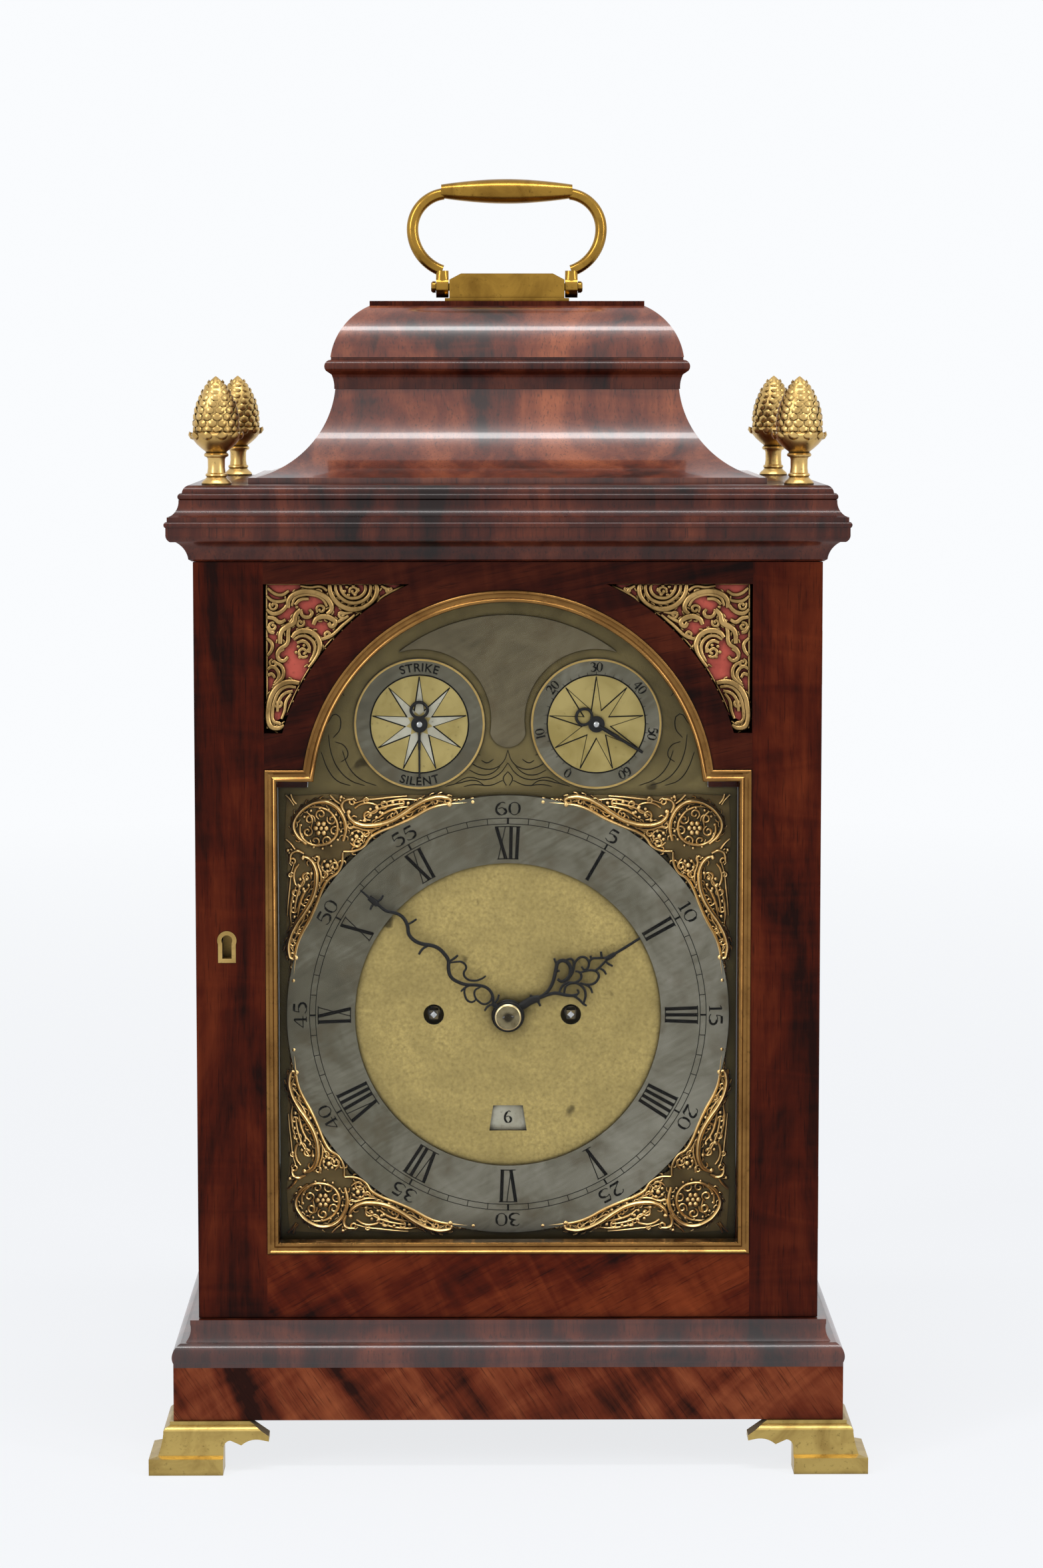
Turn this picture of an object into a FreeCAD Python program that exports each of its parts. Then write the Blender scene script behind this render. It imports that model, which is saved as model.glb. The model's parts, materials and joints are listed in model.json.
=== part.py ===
"""Bracket clock of the late eighteenth century: mahogany case with an inverted bell top, arched
brass dial and a two-train spring movement with fusees and a short pendulum.

Frame: millimetres, +Z up, the dial faces -Y. The origin is on the floor under the middle of the case.
Every driving size is a named cell of the sheet "Sizes". Outlines are sketches tied to those cells.
"""
import FreeCAD, Part
import math
import os
import re
import Sketcher

Vector = FreeCAD.Vector
Rotation = FreeCAD.Rotation

SIZES = {
    # case, measured over the veneer of the body
    "case_width": 240.0, "case_depth": 156.0, "side_wall": 9.0, "fit_gap": 0.2, "pivot_gap": 0.05,
    # bracket feet
    "foot_height": 19.3, "foot_reach": 18.5, "foot_wing": 46.0, "foot_block": 28.6, "foot_pad_high": 6.3,
    "foot_neck_out": 15.1, "foot_waist_out": 13.2, "foot_waist_high": 15.0, "foot_top_out": 10.8,
    "foot_wall": 6.0, "foot_arch_high": 12.4, "foot_cusp_high": 10.6, "foot_cusp_at": 35.4,
    "foot_spur_high": 12.0, "foot_spur_thick": 2.0, "foot_wing_top": 38.5,
    # plinth, base mould and base board
    "plinth_high": 20.7, "plinth_out": 9.4, "plinth_wall": 12.0, "base_board_thick": 10.0,
    "base_mould_high": 17.3, "base_mould_top_out": 3.2, "base_mould_inner": 15.0, "base_ovolo_high": 9.0,
    "base_fillet_high": 1.6,
    "bolt_head": 5.0, "bolt_head_high": 3.6, "bolt_chamfer": 1.6, "bolt_shank": 2.5,
    "bolt_across": 194.0, "bolt_along": 110.0,
    # body
    "body_high": 293.6, "opening_wide": 76.0, "opening_low": 72.0, "opening_straight": 126.0,
    "side_fret_thick": 1.6, "side_fret_inset": 2.0, "side_hole": 4.37, "side_hole_pitch": 13.0,
    "side_row_pitch": 15.6, "side_row_first": 11.0,
    # cornice and the board under the bell
    "cornice_high": 28.9, "cornice_inner": 12.0, "cornice_foot_out": 1.6, "cornice_cove_out": 6.2,
    "cornice_cove_top": 7.6, "cornice_ovolo_out": 9.6, "cornice_ovolo_top": 10.6, "cornice_bead_low": 13.0,
    "cornice_bead_top": 15.2, "cornice_bead_bulge": 1.25, "cornice_fascia_out": 9.1,
    "cornice_fascia_top": 17.0, "cornice_hollow_top": 22.6, "cornice_neck_out": 4.9,
    "cornice_round_low": 23.4, "cornice_round_top": 25.9, "cornice_top_out": 1.5, "cornice_fillet": 0.8,
    "top_board_thick": 11.8,
    # bell top: cove, bead and cushion; each "in" is measured back from the side of the body
    "bell_step_in": 20.1, "bell_step_high": 2.3, "cove_foot_in": 23.0, "cove_high": 36.2,
    "cove_neck_in": 52.6, "cove_radius": 39.0, "bell_wall": 9.0, "bead_high": 12.4, "bead_in": 48.6,
    "bead_low_in": 52.2,
    "cushion_high": 20.2, "cushion_top_in": 65.8, "cushion_low_in": 50.8, "cushion_radius": 26.0,
    "cap_thick": 1.9,
    # carrying handle
    "block_half_long": 22.75, "block_half_deep": 7.5, "block_high": 8.5, "block_flange": 1.8,
    "block_flange_high": 1.2, "block_bevel": 4.6, "block_bevel_high": 2.4,
    "handle_pivot_high": 5.7, "lug_thick": 4.9, "lug_radius": 4.2, "lug_rise": 6.4, "handle_half_wide": 37.4,
    "handle_rod": 2.3, "grip_high": 38.85, "grip_radius": 4.85, "grip_half_long": 25.0,
    "shoulder_rise": 22.8, "screw_radius": 1.5, "screw_head": 2.3, "screw_head_thick": 1.8,
    "screw_chamfer": 0.6,
    "grip_end": 1.0, "grip_dip": 1.2, "rod_swell": 0.4, "grip_swell": 4.25, "grip_swell_at": 13.0,
    # finials
    "finial_in": 8.7, "finial_high": 41.5, "finial_foot": 5.7, "finial_stem": 3.3, "finial_collar": 4.6,
    "finial_calyx": 10.5, "finial_cone": 8.1, "finial_foot_high": 3.7, "finial_collar_low": 10.4,
    "finial_calyx_low": 12.9, "finial_calyx_rim": 19.0, "finial_cone_low": 24.0, "finial_cone_waist": 6.2,
    "finial_cone_mid": 31.5, "finial_cone_tip": 3.0, "finial_cone_top": 37.8,
    # front door
    "door_thick": 16.0, "door_gap": 0.3, "stile_wide": 26.6, "frame_low": 25.1, "frame_shoulder": 213.9,
    "arch_radius": 79.4, "arch_centre_high": 203.3, "bezel_wide": 4.8, "bezel_proud": 1.2,
    "bezel_deep": 10.0, "bezel_lip": 2.4, "glass_thick": 2.0, "glass_set_back": 6.2,
    "fret_band": 10.4, "fret_top": 284.9, "fret_low": 227.8, "fret_thick": 1.5, "fret_set_back": 1.0,
    "silk_thick": 0.6, "fret_hole": 2.3, "fret_hole_pitch": 6.4, "fret_hole_in": 4.6, "fret_rim": 1.4,
    "key_in": 11.9, "key_high": 147.9, "key_round": 2.1, "key_wide": 1.8, "key_drop": 7.0,
    "escutcheon_wall": 1.6, "escutcheon_deep": 4.0, "escutcheon_proud": 0.3,
    "lock_wide": 14.5, "lock_high": 26.0, "lock_deep": 8.0, "lock_wall": 1.5, "lock_clear": 1.0,
    "latch_thick": 3.0, "latch_high": 6.0, "latch_travel": 4.0, "latch_clear": 1.5,
    # butt hinges
    "knuckle": 1.4, "hinge_pin": 0.7, "hinge_long": 20.7, "hinge_leaf": 1.2, "hinge_wide": 8.0,
    "hinge_upper_in": 27.7, "hinge_lower": 31.6, "hinge_relief": 0.3,
    # back door
    "back_stile": 24.0, "back_rail_low": 30.0, "back_arch_radius": 70.0, "back_straight": 190.0,
    "back_glass_lap": 4.0, "catch_knob": 7.0, "catch_knob_long": 9.0, "catch_shaft": 2.5, "catch_collar": 4.5,
    "catch_collar_thick": 1.4, "catch_arm": 12.0, "catch_arm_wide": 6.0, "catch_arm_thick": 2.5,
    "catch_inset": 4.0, "catch_slot": 6.0, "catch_clear": 1.0,
    # dial
    "dial_set_back": 18.0, "dial_side": 178.0, "dial_thick": 2.5, "dial_centre_high": 116.2,
    "dial_arch_radius": 77.5, "mask_thick": 6.0, "mask_front": 0.3,
    "ring_outer": 86.0, "ring_inner": 59.6, "ring_thick": 1.6, "winding_left": 28.9, "winding_right": 24.5,
    "winding_hole": 4.0, "pipe_hole": 4.2, "date_high": 10.0, "date_low_half": 7.3, "date_top_half": 5.8,
    "date_centre_drop": 40.9, "spandrel_thick": 1.2, "spandrel_reach": 86.5, "spandrel_clear": 2.4,
    "spandrel_hole": 5.2, "spandrel_hole_in": 9.5, "sub_across": 34.2, "sub_high": 229.9,
    "sub_radius": 25.4, "sub_thick": 1.0, "plate_thick": 1.0, "plate_margin": 8.7, "plate_clear": 2.2,
    "plate_corner_out": 7.8, "plate_foot_turn": 7.0, "plate_drop": 5.7,
    "date_ring_outer": 49.0, "date_ring_inner": 33.5, "date_ring_thick": 1.0, "date_stud": 1.4,
    "date_stud_head": 2.6, "date_stud_cap": 1.0,
    # hands
    "hour_long": 59.4, "hour_turn": 60.0, "minute_long": 76.9, "minute_turn": 310.2, "hand_thick": 0.9,
    "hour_lift": 2.6, "minute_lift": 5.2, "hour_boss": 5.6, "minute_boss": 5.0, "hour_eye_at": 26.0,
    "hour_eye": 6.2, "minute_eye_at": 22.0, "minute_eye": 3.4, "sub_hand_long": 15.5, "sub_hand_eye": 2.6,
    "strike_turn": 180.0, "regulation_turn": 121.5, "collet_radius": 4.6, "collet_long": 1.5,
    "arbor_proud": 0.5,
    # movement frame
    "plate_gap": 60.0, "movement_plate": 3.0, "movement_wide": 124.0, "movement_low": 34.7,
    "movement_high": 170.0, "dial_space": 13.0, "pillar": 4.0, "pillar_in": 7.5, "seat_thick": 10.0,
    "pillar_foot": 4.0, "pillar_waist_at": 10.0, "seat_back_in": 3.0,
    "dial_foot": 2.5, "dial_foot_across": 110.0, "dial_foot_apart": 150.0,
    # trains
    "tooth_size": 0.628, "train_size": 0.55, "third_size": 0.5, "great_teeth": 72.0, "centre_teeth": 72.0,
    "third_teeth": 66.0, "leaf_count": 6.0, "wheel_thick": 1.6, "great_thick": 2.5, "great_back": 8.5,
    "third_left": 6.0, "centre_at": 3.0, "third_at": 2.4, "escape_at": 3.0, "pinion_over": 1.0,
    "spindle": 1.12, "escape_teeth": 34.0, "escape_radius": 15.0, "escape_depth": 2.6,
    "pallet_rise": 21.2, "pallet_clear": 1.8, "arbor": 1.4, "pivot": 1.0, "pivot_long": 3.0,
    "centre_arbor": 1.4, "cannon_wall": 0.7, "pipe_wall": 0.6, "motion_teeth": 36.0, "motion_size": 0.5,
    "hour_teeth": 72.0, "hour_size": 0.4615, "fusee_small": 8.0, "fusee_large": 18.0, "fusee_long": 34.0,
    "fusee_arbor": 2.4, "fusee_pivot": 2.0, "fusee_shoulder": 2.0, "winding_square": 3.4,
    "square_long": 14.0, "square_proud": 0.5, "square_root": 6.0, "barrel_radius": 20.0,
    "barrel_across": 34.0,
    "barrel_drop": 55.5, "barrel_arbor": 3.0, "barrel_lip": 1.2,
    # pendulum, crutch, bell and hammer
    "pendulum_long": 160.0, "rod": 1.2, "bob": 16.0, "bob_thick": 7.0, "pendulum_back": 12.5,
    "bob_nut": 3.0, "bob_nut_high": 2.4, "rod_over": 3.0,
    "eye_wall": 2.0, "eye_long": 5.0, "cock_half": 14.0, "cock_thick": 3.0, "cock_high": 10.0,
    "cock_leg": 4.0, "cock_clear": 2.0, "crutch_drop": 36.0, "crutch_wire": 0.8, "crutch_wide": 3.0,
    "crutch_thick": 1.6, "crutch_foot": 7.0, "crutch_reach": 2.5,
    "pallet_hub": 3.2, "pallet_root": 1.6, "pallet_tip": 1.1, "pallet_lean": 0.6,
    "bell_radius": 38.0, "bell_high": 24.0, "bell_thick": 2.0, "bell_lift": 23.0, "bell_post": 2.0,
    "bell_crown": 4.5, "bell_bar": 3.0, "bell_bar_drop": 6.0, "bell_post_over": 7.0, "bell_collar": 2.0,
    "bell_nut": 3.4,
    "hammer_left": 44.0, "hammer_high": 66.5, "hammer_head": 4.5, "hammer_gap": 2.5,
    "hammer_head_long": 8.0, "hammer_over": 3.5, "hammer_arm": 2.4, "hammer_arm_deep": 4.0,
    "hammer_tail_long": 12.0, "hammer_tail_wide": 3.0, "hammer_tail_at": 8.0,
}

doc = FreeCAD.newDocument("bracket_clock")
sheet = doc.addObject("Spreadsheet::Sheet", "Sizes")
for row, (alias, number) in enumerate(SIZES.items(), start=1):
    sheet.set("A%d" % row, alias)
    sheet.set("B%d" % row, str(number))
    sheet.setAlias("B%d" % row, alias)
doc.recompute()

NODES = {}


# ---------------------------------------------------------------- small tools

def bound(text):
    """The expression with every size written as a cell of the sheet."""
    return re.sub(r"[a-z_]+", lambda word: "Sizes." + word[0] if word[0] in SIZES else word[0], str(text))


def value(text):
    """The number that an expression of sizes comes to now."""
    return float(sheet.evalExpression(bound(text)))


def tie(thing, prop, text):
    """Bind one property of an object to an expression of sizes."""
    thing.setExpression(prop, bound(text))


def node(name, thing):
    """Hand a finished piece over under its own name."""
    thing.Label = name
    NODES[name] = thing
    return thing


def arc_between(start, end, radius):
    """The arc from start to end; a positive radius bulges to the right of the way from start to end."""
    along = end - start
    half = along.Length / 2
    size = max(abs(radius), half * 1.0001)
    side = Vector(along.y, -along.x, 0).normalize() * (1 if radius > 0 else -1)
    rise = math.sqrt(size * size - half * half)
    middle = (start + end) / 2
    return Part.Arc(start, middle + side * (size - rise), end)


def trace(sketch, outline):
    """Add a closed outline of (x, y) or (x, y, radius of the arc that arrives there) to a sketch."""
    spots = [Vector(value(item[0]), value(item[1]), 0) for item in outline]
    first = sketch.GeometryCount
    count = len(spots)
    for index, item in enumerate(outline):
        start = spots[index - 1]
        end = spots[index]
        if len(item) > 2:
            sketch.addGeometry(arc_between(start, end, value(item[2])), False)
        else:
            sketch.addGeometry(Part.LineSegment(start, end), False)
    for index, item in enumerate(outline):
        edge = first + index
        following = first + (index + 1) % count
        end_point, next_point = edge_ends(sketch, edge, following, spots[index])
        sketch.addConstraint(Sketcher.Constraint("Coincident", edge, end_point, following, next_point))
        spot = spots[index]
        for kind, text, number in (("DistanceX", item[0], spot.x), ("DistanceY", item[1], spot.y)):
            place = sketch.addConstraint(Sketcher.Constraint(kind, -1, 1, edge, end_point, number))
            tie(sketch, "Constraints[%d]" % place, text)
        if len(item) > 2:
            place = sketch.addConstraint(Sketcher.Constraint("Radius", edge, sketch.Geometry[edge].Radius))
            tie(sketch, "Constraints[%d]" % place, "abs(%s)" % item[2])


def edge_ends(sketch, edge, following, spot):
    """Which end of each of two edges lies at the corner that they share."""
    ends = []
    for index in (edge, following):
        near = (sketch.getPoint(index, 1) - spot).Length
        far = (sketch.getPoint(index, 2) - spot).Length
        ends.append(1 if near < far else 2)
    return ends


def circle(sketch, x, y, radius):
    """Add a round hole or disc to a sketch."""
    ring = Part.Circle(Vector(value(x), value(y), 0), Vector(0, 0, 1), value(radius))
    edge = sketch.addGeometry(ring, False)
    for kind, text in (("DistanceX", x), ("DistanceY", y)):
        place = sketch.addConstraint(Sketcher.Constraint(kind, -1, 1, edge, 3, value(text)))
        tie(sketch, "Constraints[%d]" % place, text)
    place = sketch.addConstraint(Sketcher.Constraint("Radius", edge, value(radius)))
    tie(sketch, "Constraints[%d]" % place, radius)


def new_body(name):
    return doc.addObject("PartDesign::Body", name)


def drawing(body, plane, outlines, rounds=(), offset="0"):
    """A sketch on one of the body's own planes, at an offset along the plane's axis."""
    base = [item for item in body.Origin.OriginFeatures if item.Role == plane + "_Plane"][0]
    sketch = body.newObject("Sketcher::SketchObject", "outline")
    sketch.AttachmentSupport = (base, [""])
    sketch.MapMode = "FlatFace"
    away = "-(%s)" % offset if plane == "XZ" else offset
    tie(sketch, "AttachmentOffset.Base.z", away)
    for outline in outlines:
        trace(sketch, outline)
    for item in rounds:
        circle(sketch, *item)
    return sketch


def pad(body, plane, outlines, low, high, rounds=()):
    """Add the outline's prism to the body, from low to high along the plane's axis."""
    sketch = drawing(body, plane, outlines, rounds, low)
    feature = body.newObject("PartDesign::Pad", "pad")
    feature.Profile = sketch
    feature.Reversed = plane == "XZ"
    tie(feature, "Length", "(%s) - (%s)" % (high, low))
    body.Tip = feature
    return feature


def pocket(body, plane, outlines, low, high, rounds=()):
    """Cut the outline's prism out of the body, from low to high along the plane's axis."""
    doc.recompute()
    sketch = drawing(body, plane, outlines, rounds, high)
    feature = body.newObject("PartDesign::Pocket", "pocket")
    feature.Profile = sketch
    feature.Reversed = plane == "XZ"
    tie(feature, "Length", "(%s) - (%s)" % (high, low))
    body.Tip = feature
    return feature


def turned(body, outline):
    """Spin an outline of (radius, height) about the body's own Z axis."""
    sketch = drawing(body, "XZ", [outline])
    feature = body.newObject("PartDesign::Revolution", "turning")
    feature.Profile = sketch
    feature.ReferenceAxis = (sketch, ["V_Axis"])
    feature.Angle = 360
    body.Tip = feature
    return feature


def box(x0, x1, y0, y1):
    """A rectangle's corners."""
    return [(x0, y0), (x1, y0), (x1, y1), (x0, y1)]


def place(thing, x="0", y="0", z="0"):
    tie(thing, "Placement.Base.x", x)
    tie(thing, "Placement.Base.y", y)
    tie(thing, "Placement.Base.z", z)
    return thing


def free_sketch(plane, outline):
    """A sketch outside any body, standing in one of the frame's planes."""
    sketch = doc.addObject("Sketcher::SketchObject", "section")
    turns = {"XY": Rotation(), "XZ": Rotation(Vector(1, 0, 0), 90), "YZ": Rotation(Vector(1, 1, 1), 120)}
    sketch.Placement = FreeCAD.Placement(Vector(), turns[plane])
    trace(sketch, outline)
    return sketch


def prism(plane, outline, low, high):
    """The prism of a free sketch, from low to high along the axis that it faces."""
    sketch = free_sketch(plane, outline)
    axis = {"XY": "z", "XZ": "y", "YZ": "x"}[plane]
    tie(sketch, "Placement.Base." + axis, low)
    solid = doc.addObject("Part::Extrusion", "prism")
    solid.Base = sketch
    solid.DirMode = "Custom"
    solid.Dir = {"x": Vector(1, 0, 0), "y": Vector(0, 1, 0), "z": Vector(0, 0, 1)}[axis]
    solid.Solid = True
    tie(solid, "LengthFwd", "(%s) - (%s)" % (high, low))
    return solid


def common(one, other):
    shared = doc.addObject("Part::Common", "shared")
    shared.Base = one
    shared.Tool = other
    return shared


def minus(one, other):
    rest = doc.addObject("Part::Cut", "rest")
    rest.Base = one
    rest.Tool = other
    return rest


def mirrored(thing, normal):
    copy = doc.addObject("Part::Mirroring", "mirrored")
    copy.Source = thing
    copy.Normal = normal
    return copy


def group(name, things):
    """One node that holds several separate solids."""
    whole = doc.addObject("Part::Compound", name)
    whole.Links = things
    return node(name, whole)


def moulding(name, section, inner):
    """Four mitred strips round the case.

    The section is a list of (out from the side of the body, height) with the arcs that trace() reads,
    from the bottom to the top. inner is how far in from the side of the body the strips reach.
    """
    strips = []
    for plane, half, other, normal in (("XZ", HALF_WIDE, HALF_DEEP, Vector(1, 0, 0)),
                                       ("YZ", HALF_DEEP, HALF_WIDE, Vector(0, 1, 0))):
        outline = [("%s + (%s)" % (half, item[0]),) + tuple(item[1:]) for item in section]
        inset = "(%s - (%s))" % (half, inner)
        outline += [(inset, section[-1][1]), (inset, section[0][1])]
        reach = "(%s + foot_reach)" % other
        rough = prism(plane, outline, "-" + reach, reach)
        far = "(%s + foot_reach)" % half
        near = "(%s - (%s))" % (other, inner)
        corners = [(inset, "-" + near), (far, "-" + reach), (far, reach), (inset, near)]
        if plane == "YZ":
            corners = [(across, along) for along, across in corners]
        wedge = prism("XY", corners, section[0][1] + " - 1", section[-1][1] + " + 1")
        strip = common(rough, wedge)
        strips += [strip, mirrored(strip, normal)]
    return group(name, strips)


def feature(name, shape, x=0.0, y=0.0, z=0.0):
    """A piece whose shape is worked out below from the sheet's values, such as a toothed wheel."""
    thing = doc.addObject("Part::Feature", name)
    thing.Shape = shape
    thing.Placement = FreeCAD.Placement(Vector(x, y, z), Rotation())
    return node(name, thing)


def rod_along(radius, low, high, x=0.0, z=0.0):
    """A round rod along Y, from low to high."""
    return Part.makeCylinder(radius, high - low, Vector(x, low, z), Vector(0, 1, 0))


def toothed(teeth, size, low, high, bore=0.0, arms=0, rim=3.0, hub=5.0, tip=0.6, root=1.0, lead=0.0):
    """A toothed wheel with its axis along Y; size is the pitch diameter divided by the teeth.

    The teeth are straight-sided and thinner than their gaps, so that meshed wheels keep clear of each
    other. lead is the angle of the middle of the first tooth from +Z towards +X, in degrees.
    """
    pitch = teeth * size / 2
    step = 2 * math.pi / teeth
    start = math.radians(lead)
    shares = ((-0.24, pitch - root * size), (-0.12, pitch + tip * size), (0.12, pitch + tip * size),
              (0.24, pitch - root * size))
    corners = []
    for tooth in range(teeth):
        for share, radius in shares:
            angle = start + (tooth + share) * step
            corners.append(Vector(radius * math.sin(angle), low, radius * math.cos(angle)))
    rim_wire = Part.makePolygon(corners + corners[:1])
    wheel = Part.Face(rim_wire).extrude(Vector(0, high - low, 0))
    if arms:
        wheel = wheel.cut(crossings(pitch - rim, hub, arms, low, high))
    if bore:
        wheel = wheel.cut(rod_along(bore, low - 1, high + 1))
    return wheel


def crossings(outer, inner, arms, low, high):
    """The spaces between a wheel's arms, as solids to cut away."""
    ring = rod_along(outer, low - 1, high + 1).cut(rod_along(inner, low - 2, high + 2))
    arm_wide = inner * 0.55
    for arm in range(arms):
        bar = Part.makeBox(arm_wide, high - low + 4, outer + 2, Vector(-arm_wide / 2, low - 2, 0))
        bar.rotate(Vector(), Vector(0, 1, 0), 360.0 * arm / arms)
        ring = ring.cut(bar)
    return ring


HALF_WIDE = "(case_width / 2)"
HALF_DEEP = "(case_depth / 2)"
FRONT = "(-case_depth / 2)"
DOOR_BACK = "(-case_depth / 2 + door_thick)"
CASE_FRONT = "(-case_depth / 2 + door_thick + door_gap)"
CASE_BACK = "(case_depth / 2 - door_thick - door_gap)"
PLINTH_LOW = "foot_height"
PLINTH_TOP = "(foot_height + plinth_high)"
CATCH_ACROSS = "(-case_width / 2 + side_wall + catch_arm_wide / 2 + catch_clear)"
BODY_LOW = "(foot_height + plinth_high + base_mould_high)"
BODY_TOP = "(foot_height + plinth_high + base_mould_high + body_high)"
BELL_LOW = "(%s + cornice_high)" % BODY_TOP[1:-1]
CATCH_HIGH = "(%s + key_high)" % BODY_LOW[1:-1]
COVE_TOP = "(%s + cove_high)" % BELL_LOW[1:-1]
BEAD_TOP = "(%s + bead_high)" % COVE_TOP[1:-1]
CUSHION_TOP = "(%s + cushion_high)" % BEAD_TOP[1:-1]
CAP_TOP = "(%s + cap_thick)" % CUSHION_TOP[1:-1]
DIAL_FRONT = "(-case_depth / 2 + dial_set_back)"
DIAL_BACK = "(-case_depth / 2 + dial_set_back + dial_thick)"
CENTRE_HIGH = "(%s + dial_centre_high)" % BODY_LOW[1:-1]
SUB_HIGH = "(%s + sub_high)" % BODY_LOW[1:-1]
PLATE_FRONT = "(%s + dial_space)" % DIAL_BACK[1:-1]
PLATE_INNER = "(%s + movement_plate)" % PLATE_FRONT[1:-1]
REAR_INNER = "(%s + plate_gap)" % PLATE_INNER[1:-1]
REAR_BACK = "(%s + movement_plate)" % REAR_INNER[1:-1]
MOVEMENT_LOW = "(%s + movement_low)" % BODY_LOW[1:-1]
MOVEMENT_TOP = "(%s + movement_high)" % MOVEMENT_LOW[1:-1]


# ---------------------------------------------------------------- the case

def make_feet():
    """Four brass bracket feet: ogee in section, mitred at the corner, with a cusped spur on each side."""
    section = [("foot_reach", "0"), ("foot_reach", "foot_pad_high"), ("foot_neck_out", "foot_pad_high + 0.6"),
               ("foot_waist_out", "foot_waist_high", "-30"), ("foot_waist_out", "foot_waist_high + 1"),
               ("foot_top_out", "foot_height - 1.4", "4"), ("foot_top_out", "foot_height")]
    shapes = []
    for plane, half, other in (("XZ", HALF_WIDE, HALF_DEEP), ("YZ", HALF_DEEP, HALF_WIDE)):
        outline = [("%s + %s" % (half, item[0]),) + tuple(item[1:]) for item in section]
        inner = "%s + foot_reach - foot_wing" % half
        outline += [(inner, "foot_height"), (inner, "0")]
        shapes.append(prism(plane, outline, "%s + foot_reach - foot_wing" % other, "%s + foot_reach" % other))
    foot = common(shapes[0], shapes[1])
    spans = []
    for half in (HALF_WIDE, HALF_DEEP):
        spans += ["%s + foot_reach - foot_wing - 1" % half, "%s + foot_top_out - foot_wall" % half]
    foot = minus(foot, prism("XY", box(*spans), "-1", "foot_height + 1"))
    for plane, half, other in (("XZ", HALF_WIDE, HALF_DEEP), ("YZ", HALF_DEEP, HALF_WIDE)):
        edge = "%s + foot_reach - " % half
        below = [(edge + "foot_wing - 1", "-1"), (edge + "foot_block", "-1"),
                 (edge + "foot_block", "foot_arch_high - 2.6"),
                 (edge + "foot_block - 2.6", "foot_arch_high", "2.7"),
                 (edge + "foot_cusp_at", "foot_cusp_high"),
                 (edge + "foot_wing + 3", "foot_spur_high + 0.6", "9"),
                 (edge + "foot_wing", "foot_spur_high"), (edge + "foot_wing - 1", "foot_spur_high")]
        above = [(edge + "foot_wing - 1", "foot_spur_high + foot_spur_thick"),
                 (edge + "foot_wing", "foot_spur_high + foot_spur_thick"),
                 (edge + "foot_wing_top", "foot_height"), (edge + "foot_wing_top", "foot_height + 1"),
                 (edge + "foot_wing - 1", "foot_height + 1")]
        for outline in (below, above):
            foot = minus(foot, prism(plane, outline, "%s + foot_top_out - foot_wall - 1" % other,
                                     "%s + foot_reach + 1" % other))
    other_side = mirrored(foot, Vector(1, 0, 0))
    group("feet", [foot, other_side, mirrored(foot, Vector(0, 1, 0)), mirrored(other_side, Vector(0, 1, 0))])


def make_base():
    """Plinth, base mould, bottom board, the bolts in it and the board that the movement stands on."""
    moulding("base_plinth", [("plinth_out", PLINTH_LOW), ("plinth_out", PLINTH_TOP)],
             "plinth_wall - plinth_out")
    low = PLINTH_TOP[1:-1]
    moulding("base_moulding", [
        ("plinth_out", low), ("plinth_out", low + " + base_fillet_high"),
        ("plinth_out - 2.6", low + " + base_ovolo_high", "5.5"),
        ("plinth_out - 4.6", low + " + base_ovolo_high"),
        ("base_mould_top_out", low + " + base_mould_high - base_fillet_high", "-7.5"),
        ("base_mould_top_out", low + " + base_mould_high")], "base_mould_inner")
    board = new_body("board")
    side = "%s + plinth_out - plinth_wall" % HALF_WIDE
    depth = "%s + plinth_out - plinth_wall" % HALF_DEEP
    bolts = [("%s * bolt_across / 2" % x, "%s * bolt_along / 2" % y) for x in (-1, 1) for y in (-1, 1)]
    holes = [(x, y, "bolt_shank + pivot_gap") for x, y in bolts]
    pad(board, "XY", [box("-(%s)" % side, side, "-(%s)" % depth, depth)], PLINTH_LOW,
        PLINTH_LOW + " + base_board_thick", holes)
    node("base_board", board)
    solids = []
    for x, y in bolts:
        bolt = new_body("bolt")
        turned(bolt, [("0", "-bolt_head_high"), ("bolt_head - bolt_chamfer", "-bolt_head_high"),
                      ("bolt_head", "-bolt_head_high + bolt_chamfer"), ("bolt_head", "0"),
                      ("bolt_shank", "0"),
                      ("bolt_shank", "base_board_thick"), ("0", "base_board_thick")])
        solids.append(place(bolt, x, y, PLINTH_LOW))
    group("base_bolts", solids)
    seat = new_body("seat")
    pad(seat, "XY", [box("-(%s - side_wall)" % HALF_WIDE, "%s - side_wall" % HALF_WIDE,
                         "%s + mask_front + mask_thick + fit_gap" % CASE_FRONT,
                         "%s - seat_back_in" % REAR_BACK)],
        "%s - seat_thick" % MOVEMENT_LOW, MOVEMENT_LOW)
    node("seatboard", seat)


def arched(half, low, straight, radius, centre):
    """An arched outline: upright sides from low to straight, then shoulders in to an arc about centre."""
    spring = "sqrt(%s ^ 2 - (%s - (%s)) ^ 2)" % (radius, straight, centre)
    return [("-(%s)" % half, low), (half, low), (half, straight), (spring, straight),
            ("0", "%s + %s" % (centre, radius), radius), ("-" + spring, straight, radius),
            ("-(%s)" % half, straight)]


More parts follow.
